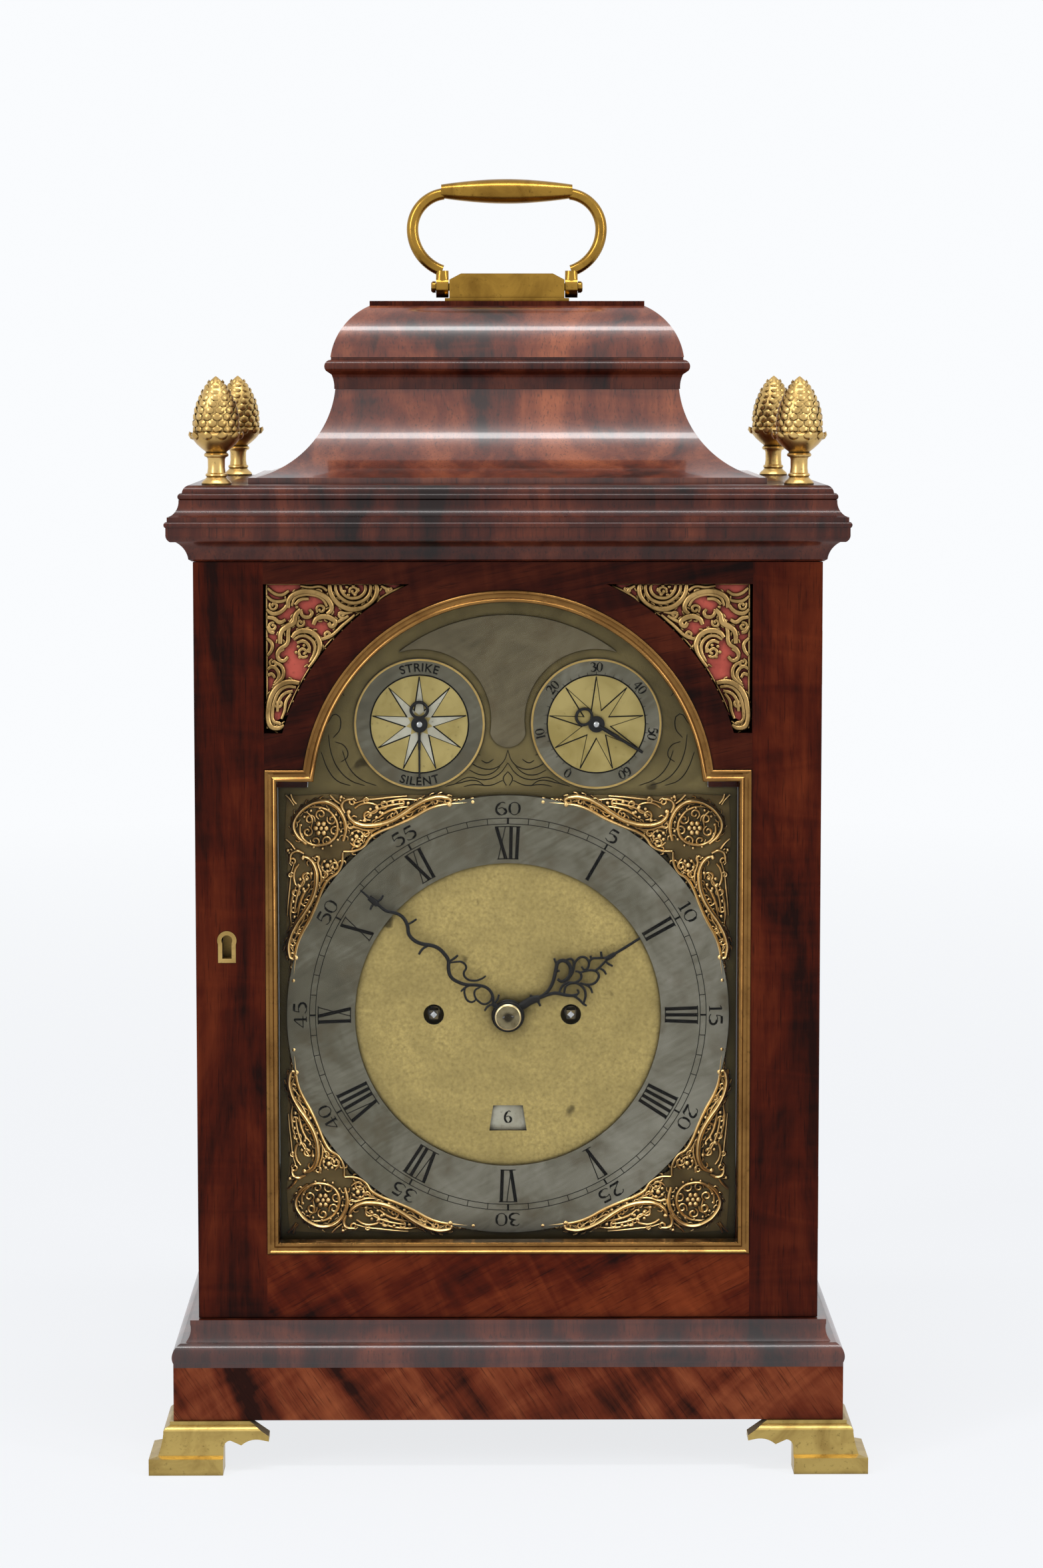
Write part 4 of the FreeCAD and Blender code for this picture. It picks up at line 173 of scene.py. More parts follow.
class Finish:
    """One procedural material, put together node by node around its Principled shader."""

    def __init__(self, name):
        self.material = bpy.data.materials.new(name)
        self.material.use_nodes = True
        self.tree = self.material.node_tree
        self.shader = self.tree.nodes["Principled BSDF"]

    def feed(self, socket, value):
        """Link a socket to another, or set its value."""
        if isinstance(value, bpy.types.NodeSocket):
            self.tree.links.new(value, socket)
        else:
            socket.default_value = value

    def add(self, kind, inputs, **settings):
        node = self.tree.nodes.new("ShaderNode" + kind)
        for name, value in settings.items():
            setattr(node, name, value)
        for name, value in inputs.items():
            self.feed(node.inputs[name], value)
        return node

    def coords(self, shift=(0.0, 0.0, 0.0), turn=(0.0, 0.0, 0.0), scale=(1.0, 1.0, 1.0)):
        """The piece's own coordinates in metres, turned, then stretched."""
        place = self.add("TexCoord", {}).outputs["Object"]
        spot = self.add("Mapping", {"Vector": place, "Location": shift, "Rotation": turn}).outputs[0]
        return self.add("Mapping", {"Vector": spot, "Scale": scale}).outputs[0]

    def noise(self, spot, scale, detail=3.0, rough=0.5, swirl=0.0):
        inputs = {"Vector": spot, "Scale": scale, "Detail": detail, "Roughness": rough, "Distortion": swirl}
        return self.add("TexNoise", inputs).outputs["Fac"]

    def sum(self, operation, one, other, clamp=False):
        node = self.add("Math", {0: one, 1: other}, operation=operation, use_clamp=clamp)
        return node.outputs[0]

    def ramp(self, value, *stops):
        """A colour ramp of (place, colour) stops."""
        node = self.add("ValToRGB", {"Fac": value})
        places = node.color_ramp.elements
        while len(places) < len(stops):
            places.new(0.5)
        for element, (place, colour) in zip(places, stops):
            element.position = place
            element.color = tuple(colour) + (1.0,)
        return node.outputs["Color"]

    def level(self, value, low, high):
        """0 at low, 1 at high, and straight between."""
        inputs = {"Value": value, "From Min": low, "From Max": high}
        return self.add("MapRange", inputs, clamp=True).outputs["Result"]

    def span(self, value, low, high):
        """A 0 to 1 value spread from low to high."""
        return self.add("MapRange", {"Value": value, "To Min": low, "To Max": high}, clamp=True).outputs["Result"]

    def mix(self, share, one, other, blend="MIX"):
        node = self.tree.nodes.new("ShaderNodeMix")
        node.data_type, node.blend_type = "RGBA", blend
        self.feed(node.inputs[0], share)
        for index, value in ((6, one), (7, other)):
            self.feed(node.inputs[index], value if isinstance(value, bpy.types.NodeSocket) else tuple(value) + (1.0,))
        return node.outputs[2]

    def hollows(self, reach):
        """0 out in the open, 1 in a groove or an inner corner."""
        shade = self.add("AmbientOcclusion", {"Distance": reach}, samples=6)
        return self.sum("SUBTRACT", 1.0, shade.outputs["AO"])

    def bump(self, height, depth, strength=1.0, under=None):
        inputs = {"Height": height, "Distance": depth, "Strength": strength}
        if under:
            inputs["Normal"] = under
        return self.add("Bump", inputs).outputs[0]

    def set(self, **inputs):
        """Set or feed the shader's own sockets; an underscore stands for a space."""
        for name, value in inputs.items():
            self.feed(self.shader.inputs[name.replace("_", " ")], value)
        return self.material


def mahogany(name, along, shift, tones, flame=0.5, lean=0.0, gloss=0.05):
    """French polished mahogany: figure that runs along an axis, fine dark pores, and painted shade in the corners."""
    finish = Finish(name)
    deep, middle, light = tones
    turn = {"X": (0.0, lean, 0.0), "Y": (0.0, 0.0, math.pi / 2), "Z": (0.0, math.pi / 2 + lean, 0.0)}[along]
    figure = finish.noise(finish.coords(shift, turn, (0.30, 1.0, 1.0)), 19.0, 5.0, 0.6, 1.8)
    streaks = finish.noise(finish.coords(shift, turn, (0.05, 1.0, 1.0)), 190.0, 4.0, 0.65, 0.3)
    curl = finish.noise(finish.coords(shift, turn, (1.0, 0.22, 0.22)), 52.0, 3.0, 0.5, 2.6)
    tone = finish.sum("ADD", finish.level(figure, 0.26, 0.78), finish.span(streaks, -0.32, 0.32))
    tone = finish.sum("ADD", tone, finish.span(curl, -0.55 * flame, 0.55 * flame))
    colour = finish.ramp(tone, (0.12, deep), (0.42, middle), (0.95, light))
    pores = finish.noise(finish.coords(shift, turn, (0.045, 1.0, 1.0)), 1500.0, 2.0, 0.6)
    open_pores = finish.level(pores, 0.56, 0.70)
    colour = finish.mix(finish.sum("MULTIPLY", open_pores, 0.6), colour, [part * 0.3 for part in deep])
    # Painted shade: grooves and inner corners are darkened almost to black.
    hollow_shade = finish.level(finish.hollows(0.006), 0.25, 0.70)
    colour = finish.mix(finish.sum("MULTIPLY", hollow_shade, 0.9), colour, (0.004, 0.002, 0.0015))
    handling = finish.noise(finish.coords(shift), 24.0, 4.0, 0.6)
    bump = finish.bump(pores, 0.00004, 0.35)
    return finish.set(Base_Color=colour, Roughness=finish.span(handling, 0.20, 0.42), Normal=bump,
                      Coat_Weight=gloss, Coat_Roughness=0.07, Specular_IOR_Level=gloss)


def brass(name, bright, dull, speck_and_shade, rough=(0.28, 0.46), reach=0.0025, spots=60.0, recess_at=(0.25, 0.8)):
    """Old lacquered brass: duller patches, dark specks, painted shade in the hollows and fine scratches."""
    finish = Finish(name)
    spot = finish.coords()
    patches = finish.noise(spot, spots, 5.0, 0.6, 0.8)
    colour = finish.mix(finish.level(patches, 0.42, 0.66), bright, dull)
    specks = finish.level(finish.noise(spot, spots * 9, 3.0, 0.7), 0.60, 0.72)
    colour = finish.mix(finish.sum("MULTIPLY", specks, 0.45), colour, speck_and_shade)
    # Painted shade: hollows darken to the dark colour; the same mask also roughens them, as dirt would.
    dirt_and_shade = finish.level(finish.hollows(reach), *recess_at)
    colour = finish.mix(dirt_and_shade, colour, speck_and_shade)
    scratches = finish.noise(finish.coords(turn=(0.3, 0.5, 0.2), scale=(0.08, 1.0, 1.0)), 1400.0, 2.0, 0.5)
    bump = finish.bump(scratches, 0.00002, 0.4)
    roughness = finish.sum("ADD", finish.span(patches, *rough), finish.sum("MULTIPLY", dirt_and_shade, 0.25))
    return finish.set(Base_Color=colour, Metallic=1.0, Roughness=roughness, Normal=bump)


def glass():
    """Thin clear pane with a little dust."""
    finish = Finish("clear_glass")
    dust = finish.level(finish.noise(finish.coords(), 30.0, 4.0, 0.6), 0.35, 0.9)
    clear = finish.add("BsdfTransparent", {"Color": (0.985, 0.992, 0.988, 1.0)})
    finish.set(Base_Color=(0.9, 0.95, 0.93, 1.0), Roughness=finish.span(dust, 0.02, 0.10), IOR=1.45)
    fresnel = finish.add("Fresnel", {"IOR": 1.45})
    share = finish.sum("MULTIPLY", fresnel.outputs[0], 0.14)
    gloss = finish.add("BsdfGlossy", {"Roughness": finish.span(dust, 0.02, 0.12)})
    mix = finish.add("MixShader", {0: share, 1: clear.outputs[0], 2: gloss.outputs[0]})
    finish.tree.links.new(mix.outputs[0], finish.tree.nodes["Material Output"].inputs["Surface"])
    return finish.material


def dress(material, *nodes):
    """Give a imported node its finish."""
    for name in nodes:
        slots = NODES[name].data.materials
        slots.clear()
        slots.append(material)


RED_TONES = ((0.012, 0.0020, 0.0008), (0.060, 0.0070, 0.0018), (0.155, 0.026, 0.0065))
DIM_TONES = ((0.007, 0.0014, 0.0007), (0.034, 0.0046, 0.0016), (0.095, 0.018, 0.006))
FLAME_TONES = ((0.015, 0.0024, 0.0010), (0.082, 0.0095, 0.0022), (0.225, 0.042, 0.010))
WARM_TONES = ((0.020, 0.0042, 0.0020), (0.125, 0.022, 0.0075), (0.34, 0.090, 0.032))
DARK_TONES = ((0.009, 0.0018, 0.0009), (0.052, 0.0075, 0.0026), (0.17, 0.036, 0.013))


def dress_case():
    stile = mahogany("mahogany_stile", "Z", (0.3, 0.1, 0.0), RED_TONES, 0.3)
    right = mahogany("mahogany_stile_right", "Z", (0.9, 0.6, 0.2), RED_TONES, 0.35)
    rail = mahogany("mahogany_rail", "X", (0.0, 0.4, 0.2), FLAME_TONES, 0.7, 0.5)
    head = mahogany("mahogany_arch", "X", (0.6, 0.2, 0.9), DIM_TONES, 0.5, 0.2)
    plinth = mahogany("mahogany_plinth", "Z", (0.2, 0.3, 0.5), WARM_TONES, 0.5, 0.6)
    moulded = mahogany("mahogany_cornice", "Z", (0.1, 0.7, 0.3), DARK_TONES, 0.35, 0.0, 0.24)
    base = mahogany("mahogany_base", "Z", (0.7, 0.2, 0.1), DARK_TONES, 0.35, 0.0, 0.5)
    bell = mahogany("mahogany_bell", "Z", (0.4, 0.5, 0.3), WARM_TONES, 0.5, 0.0, 0.55)
    plain = mahogany("mahogany_plain", "Z", (0.5, 0.2, 0.6), DARK_TONES, 0.2)
    dress(stile, "door_stile_left", "side_panel_left", "back_door_frame")
    dress(right, "door_stile_right", "side_panel_right")
    dress(rail, "door_bottom_rail")
    dress(head, "door_top_rail")
    dress(plinth, "base_plinth")
    dress(moulded, "cornice", "bell_moulding")
    dress(base, "base_moulding")
    dress(bell, "bell_cove", "bell_cushion")
    dress(plain, "top_board", "cap_plate", "seatboard", "dial_mask", "base_board")


def silvering(name, bright, dull, stain):
    """Worn silvering: brushed, cloudy, browner in patches, lighter towards the lower right by painted light, and
    darkened by painted shade in its fine hollows.
    """
    finish = Finish(name)
    clouds = finish.noise(finish.coords(), 36.0, 6.0, 0.68, 1.4)
    brushed = finish.noise(finish.coords(turn=(0.0, 0.5, 0.0), scale=(0.10, 1.0, 1.0)), 520.0, 4.0, 0.7)
    spot = finish.add("TexCoord", {}).outputs["Object"]
    # Painted light: a slope across the dial makes the silvering lighter towards the lower right.
    lean = finish.add("VectorMath", {0: spot, 1: (1.0, 0.0, -0.6)}, operation="DOT_PRODUCT").outputs["Value"]
    tone = finish.sum("ADD", finish.span(finish.level(clouds, 0.30, 0.70), 0.0, 0.30), finish.span(brushed, -0.18, 0.20))
    tone = finish.sum("ADD", tone, finish.span(finish.level(lean, -0.20, 0.0), 0.22, 0.50))
    colour = finish.ramp(tone, (0.10, [part * 0.45 for part in dull]), (0.42, dull), (0.95, bright))
    brown = finish.noise(finish.coords((0.3, 0.1, 0.0)), 70.0, 4.0, 0.6)
    colour = finish.mix(finish.sum("MULTIPLY", finish.level(brown, 0.52, 0.74), 0.6), colour, stain)
    # Painted shade: fine hollows, such as round the ring's edges, darken almost to black.
    colour = finish.mix(finish.level(finish.hollows(0.0015), 0.2, 0.7), colour, (0.01, 0.008, 0.006))
    bump = finish.bump(brushed, 0.00004, 0.5)
    return finish.set(Base_Color=colour, Metallic=1.0, Roughness=finish.span(clouds, 0.30, 0.52), Normal=bump)


def two_brasses(name, inside, outside, middle, radius, arch_foot):
    """The dial plate: matted bright in the middle, duller in the arch, and darkest in the corners below it, where
    painted shade darkens it, as it does next to the parts that stand on it.
    """
    finish = Finish(name)
    spot = finish.add("TexCoord", {}).outputs["Object"]
    flat = finish.add("VectorMath", {0: spot, 1: (1.0, 0.0, 1.0)}, operation="MULTIPLY").outputs[0]
    away = finish.add("VectorMath", {0: flat, 1: (middle[0] * MM, 0.0, middle[1] * MM)}, operation="DISTANCE")
    outer = finish.level(away.outputs["Value"], (radius - 0.3) * MM, (radius + 0.3) * MM)
    height = finish.add("SeparateXYZ", {"Vector": spot}).outputs["Z"]
    # Painted shade: the corners below the arch are darkened to a third.
    low = finish.level(height, (arch_foot + 1.0) * MM, (arch_foot - 3.0) * MM)
    speckle = finish.noise(finish.coords(), 900.0, 3.0, 0.75)
    cloud = finish.noise(finish.coords(), 38.0, 5.0, 0.65, 0.8)
    outer_tone_and_corner_shade = finish.mix(low, outside, [part * 0.34 for part in outside])
    outer_tone_and_corner_shade = finish.mix(finish.level(cloud, 0.35, 0.7), outer_tone_and_corner_shade, [part * 0.45 for part in outside])
    centre_tone = finish.mix(finish.level(cloud, 0.34, 0.70), inside, [part * 0.66 for part in inside])
    grain = finish.noise(finish.coords(), 620.0, 4.0, 0.8)
    centre_tone = finish.mix(finish.level(grain, 0.40, 0.72), centre_tone, [part * 0.56 for part in inside])
    colour = finish.mix(outer, centre_tone, outer_tone_and_corner_shade)
    colour = finish.mix(finish.span(speckle, 0.0, 0.75), colour, finish.mix(0.5, colour, (0.02, 0.014, 0.007)))
    pits = finish.level(finish.noise(finish.coords((0.2, 0.0, 0.1)), 95.0, 2.0, 0.4), 0.71, 0.77)
    colour = finish.mix(finish.sum("MULTIPLY", pits, 0.75), colour, (0.03, 0.022, 0.012))
    # Painted shade: the plate darkens almost to black next to the parts that stand on it.
    shade = finish.level(finish.hollows(0.008), 0.08, 0.62)
    colour = finish.mix(shade, colour, (0.006, 0.004, 0.003))
    bump = finish.bump(speckle, 0.00014, 0.7)
    return finish.set(Base_Color=colour, Metallic=1.0, Roughness=finish.span(speckle, 0.40, 0.62), Normal=bump)


def tipped(name, front, back, level):
    """A finish that changes along the depth of the clock, as on an arbor with a steel square."""
    finish = Finish(name)
    place = finish.add("SeparateXYZ", {"Vector": finish.add("TexCoord", {}).outputs["Object"]}).outputs["Y"]
    rear = finish.level(place, level * MM - 0.0002, level * MM + 0.0002)
    wear = finish.noise(finish.coords(), 300.0, 3.0, 0.6)
    colour = finish.mix(rear, front, back)
    colour = finish.mix(finish.level(wear, 0.4, 0.8), colour, [part * 0.5 for part in back])
    # Painted shade: hollows darken almost to black.
    colour = finish.mix(finish.level(finish.hollows(0.002), 0.2, 0.7), colour, (0.02, 0.015, 0.01))
    return finish.set(Base_Color=colour, Metallic=1.0, Roughness=finish.span(wear, 0.2, 0.4))


def painted(name, bright, dull, speck_and_shade, shine):
    """A dark or coloured finish that isn't bare metal."""
    material = brass(name, bright, dull, speck_and_shade, (0.3, 0.5))
    inputs = material.node_tree.nodes["Principled BSDF"].inputs
    inputs["Metallic"].default_value, inputs["Specular IOR Level"].default_value = 0.0, shine
    return material


def dress_metal():
    # In each brass the third colour is for dark specks and for the painted shade in its hollows.
    handle = brass("handle_brass", (0.36, 0.20, 0.035), (0.22, 0.115, 0.020), (0.03, 0.015, 0.005), (0.16, 0.34))
    feet = brass("foot_brass", (0.46, 0.33, 0.105), (0.30, 0.20, 0.060), (0.035, 0.022, 0.008), (0.26, 0.42))
    frame_brass = brass("door_brass", (0.26, 0.135, 0.040), (0.17, 0.082, 0.024), (0.018, 0.010, 0.004), (0.14, 0.30))
    plain = brass("plain_brass", (0.50, 0.34, 0.12), (0.34, 0.22, 0.07), (0.04, 0.025, 0.010))
    cast = brass("cast_gilt", (0.94, 0.64, 0.28), (0.56, 0.36, 0.14), (0.010, 0.006, 0.003), (0.20, 0.38),
                 0.0020, 60.0, (0.16, 0.52))
    cone = brass("finial_brass", (0.66, 0.44, 0.16), (0.46, 0.29, 0.095), (0.018, 0.010, 0.004), (0.22, 0.40),
                 0.0018, 60.0, (0.16, 0.55))
    fret = brass("fret_brass", (0.47, 0.30, 0.115), (0.20, 0.120, 0.042), (0.010, 0.005, 0.002), (0.22, 0.40),
                 0.0022, 60.0, (0.12, 0.46))
    # Painted shade: a dark brass for the movement inside the case and the plates behind the spandrels, standing for the
    # shade there.
    dark = brass("shade_dark_brass", (0.14, 0.095, 0.038), (0.080, 0.052, 0.020), (0.008, 0.005, 0.003), (0.4, 0.6))
    matted = two_brasses("matted_dial", (0.66, 0.50, 0.19), (0.26, 0.20, 0.085), DIAL, 59.8, 262.0)
    star = brass("star_ground", (0.46, 0.36, 0.14), (0.34, 0.26, 0.09), (0.05, 0.035, 0.015), (0.4, 0.6))
    wheel = brass("wheel_brass", (0.72, 0.54, 0.24), (0.55, 0.40, 0.16), (0.10, 0.06, 0.02), (0.22, 0.38))
    silver = silvering("old_silvering", (0.34, 0.32, 0.265), (0.135, 0.122, 0.088), (0.090, 0.066, 0.036))
    grey = silvering("tarnished_silver", (0.24, 0.205, 0.135), (0.150, 0.122, 0.074), (0.095, 0.066, 0.034))
    pale = brass("pale_silver", (0.52, 0.49, 0.40), (0.36, 0.33, 0.25), (0.05, 0.04, 0.03), (0.4, 0.6))
    steel = brass("polished_steel", (0.52, 0.52, 0.53), (0.38, 0.38, 0.38), (0.06, 0.05, 0.04), (0.2, 0.35))
    # Painted shade: the front of each fusee arbor, seen down its winding hole, is near black to stand for the shade in
    # the hole.
    fusee = tipped("fusee_shaded_front", (0.045, 0.045, 0.048), (0.55, 0.40, 0.16), -45.0)
    collet = brass("bright_collet", (0.86, 0.70, 0.40), (0.62, 0.47, 0.22), (0.20, 0.13, 0.05), (0.22, 0.36), 0.0006)
    centre = tipped("collet_brass", (0.90, 0.74, 0.42), (0.55, 0.40, 0.16), -45.0)
    blued = painted("black_steel", (0.0045, 0.004, 0.0045), (0.009, 0.007, 0.006), (0.001, 0.001, 0.001), 0.22)
    wax = painted("black_wax", (0.004, 0.0035, 0.003), (0.010, 0.008, 0.006), (0.002, 0.002, 0.002), 0.08)
    silk = painted("red_silk", (0.56, 0.105, 0.070), (0.40, 0.070, 0.048), (0.07, 0.012, 0.008), 0.2)
    dress(handle, "handle", "handle_block")
    dress(feet, "feet")
    dress(frame_brass, "door_bezel")
    dress(plain, "door_lock", "case_hinge_leaves", "door_hinge_leaves", "back_door_hinge_leaves",
          "back_door_catch", "side_frets")
    dress(cast, "spandrels", "door_silk")
    dress(cone, "finials")
    dress(fret, "door_frets")
    dress(matted, "dial_plate")
    dress(silver, "chapter_ring", "subsidiary_dials")
    dress(grey, "name_plate")
    dress(pale, "date_ring")
    dress(fusee, "going_fusee", "strike_fusee")
    dress(centre, "centre_arbor")
    dress(wheel, "going_barrel", "strike_barrel", "cannon_pinion", "hour_wheel", "minute_wheel", "third_wheel",
          "escape_wheel", "pendulum", "bell")
    dress(dark, "movement_frame")
    dress(steel, "pallets", "hammer", "lock_bolt", "base_bolts")
    dress(blued, "hour_hand", "minute_hand", "strike_hand", "regulation_hand")
    dress(glass(), "door_glass", "back_door_glass")
    return {"wax": wax, "silk": silk, "pale": pale, "star": star, "plain": plain, "cast": cast, "dark": dark,
            "blued": blued, "collet": collet, "steel": steel, "fret": fret, "frame": frame_brass, "cone": cone}


# ---------------------------------------------------------------- ways of making

def pick(*pieces):
    """Select these pieces and nothing else; the first one is active."""
    bpy.ops.object.select_all(action="DESELECT")
    for piece in pieces:
        piece.select_set(True)
    bpy.context.view_layer.objects.active = pieces[0]


def joined(pieces):
    pick(*pieces)
    if len(pieces) > 1:
        bpy.ops.object.join()
    return bpy.context.object


def settle(piece, name, material, body, slot, *stands_for):
    """Fix the place in the mesh, then name, paint and hand over the piece."""
    pick(piece)
    bpy.ops.object.transform_apply(location=True, rotation=True, scale=True)
    piece.name = name
    piece.data.materials.clear()
    piece.data.materials.append(material)
    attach(piece, body)
    if stands_for:
        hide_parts(*stands_for)
    return piece


def edit(piece, select="SELECT"):
    pick(piece)
    bpy.ops.object.mode_set(mode="EDIT")
    bpy.ops.mesh.select_all(action=select)


def done():
    bpy.ops.object.mode_set(mode="OBJECT")
    return bpy.context.object


def on_dial(across, up):
    return across, DIAL[1] + up


def wires(strokes, place, level, flat=0.6, round_to=2, steps=4, ends=0.5):
    """Wires of uneven width, drawn through points, then pressed flat against the plane Y = level."""
    bpy.ops.curve.primitive_bezier_curve_add()
    wire = bpy.context.object
    line = wire.data
    line.splines.clear()
    line.dimensions = "3D"
    line.bevel_depth, line.bevel_resolution, line.use_fill_caps = MM, round_to, True
    line.resolution_u = steps
    for half, points in strokes:
        spline = line.splines.new("BEZIER")
        spline.bezier_points.add(len(points) - 1)
        for index, (spot, point) in enumerate(zip(points, spline.bezier_points)):
            across, up = place(*spot)
            point.co = (across * MM, level * MM, up * MM)
            point.handle_left_type = point.handle_right_type = "AUTO"
            swell = math.sin(math.pi * (index + 0.5) / len(points)) ** 0.6
            point.radius = half * (ends + (1.0 - ends) * swell)
    bpy.ops.object.convert(target="MESH")
    wire = bpy.context.object
    edit(wire)
    bpy.ops.mesh.remove_doubles(threshold=0.00001)
    bpy.ops.transform.resize(value=(1.0, flat, 1.0), center_override=(0.0, level * MM, 0.0))
    bpy.ops.mesh.normals_make_consistent(inside=False)
    done()
    bpy.ops.object.shade_smooth_by_angle(angle=math.radians(50))
    return wire


def beads(spots, place, level, flat=0.7):
    """Round beads of (radius, across, up): one is made, and the rest are its copies."""
    radius, across, up = spots[0]
    x, z = place(across, up)
    bpy.ops.mesh.primitive_uv_sphere_add(segments=10, ring_count=6, radius=MM)
    first = bpy.context.object
    bpy.ops.object.shade_smooth()
    pieces = [first]
    for radius, across, up in spots:
        x, z = place(across, up)
        bead = first.copy()
        bead.data = first.data.copy()
        bpy.context.collection.objects.link(bead)
        bead.location = (x * MM, level * MM, z * MM)
        bead.scale = (radius, radius * flat, radius)
        pieces.append(bead)
    bpy.data.objects.remove(first)
    pieces = pieces[1:]
    pick(*pieces)
    bpy.ops.object.transform_apply(location=True, rotation=True, scale=True)
    return joined(pieces)


def turned(profile, place, aim=(0.0, 0.0, 1.0), sides=48, smooth=35):
    """A turned piece: a ring drawn out along its axis through (radius, height) steps, in mm."""
    first, base = profile[0]
    bpy.ops.mesh.primitive_circle_add(vertices=sides, radius=first * MM, location=(0.0, 0.0, base * MM))
    piece = bpy.context.object
    bpy.ops.object.transform_apply(location=True)
    edit(piece)
    bpy.ops.mesh.edge_face_add()
    bpy.ops.mesh.select_all(action="SELECT")
    for (before, low), (radius, high) in zip(profile, profile[1:]):
        bpy.ops.mesh.extrude_region_move(TRANSFORM_OT_translate={"value": (0.0, 0.0, (high - low) * MM)})
        share = radius / before
        bpy.ops.transform.resize(value=(share, share, 1.0), center_override=(0.0, 0.0, high * MM))
    bpy.ops.mesh.select_all(action="SELECT")
    bpy.ops.mesh.remove_doubles(threshold=0.000005)
    bpy.ops.mesh.normals_make_consistent(inside=False)
    done()
    bpy.ops.object.shade_smooth_by_angle(angle=math.radians(smooth))
    piece.rotation_euler = Vector(aim).to_track_quat("Z", "Y").to_euler()
    piece.location = Vector(place) * MM
    bpy.ops.object.transform_apply(location=True, rotation=True)
    return piece


def outline_face(points, level):
    """One flat face in the plane Y = level, its corners in mm."""
    bpy.ops.mesh.primitive_circle_add(vertices=len(points), radius=MM, fill_type="NGON")
    face = bpy.context.object
    edit(face)
    mesh = bmesh.from_edit_mesh(face.data)
    mesh.verts.ensure_lookup_table()
    for vert, (across, up) in zip(mesh.verts, points):
        vert.co = (across * MM, level * MM, up * MM)
    bmesh.update_edit_mesh(face.data)
    bpy.ops.mesh.normals_make_consistent(inside=False)
    return face


def plaque(points, level, thick):
    """A flat plate in front of the plane Y = level, cut to an outline."""
    outline_face(points, level)
    bpy.ops.mesh.extrude_region_move(TRANSFORM_OT_translate={"value": (0.0, -thick * MM, 0.0)})
    bpy.ops.mesh.select_all(action="SELECT")
    bpy.ops.mesh.normals_make_consistent(inside=False)
    return done()


def round_a_ring(middle, radius):
    """A place that wraps lettering round a ring: turn in degrees clockwise from the top."""
    def place(turn, out):
        angle = math.radians(turn)
        return middle[0] + (radius + out) * math.sin(angle), middle[1] + (radius + out) * math.cos(angle)
    return place


# ---------------------------------------------------------------- lettering, in a box one unit high

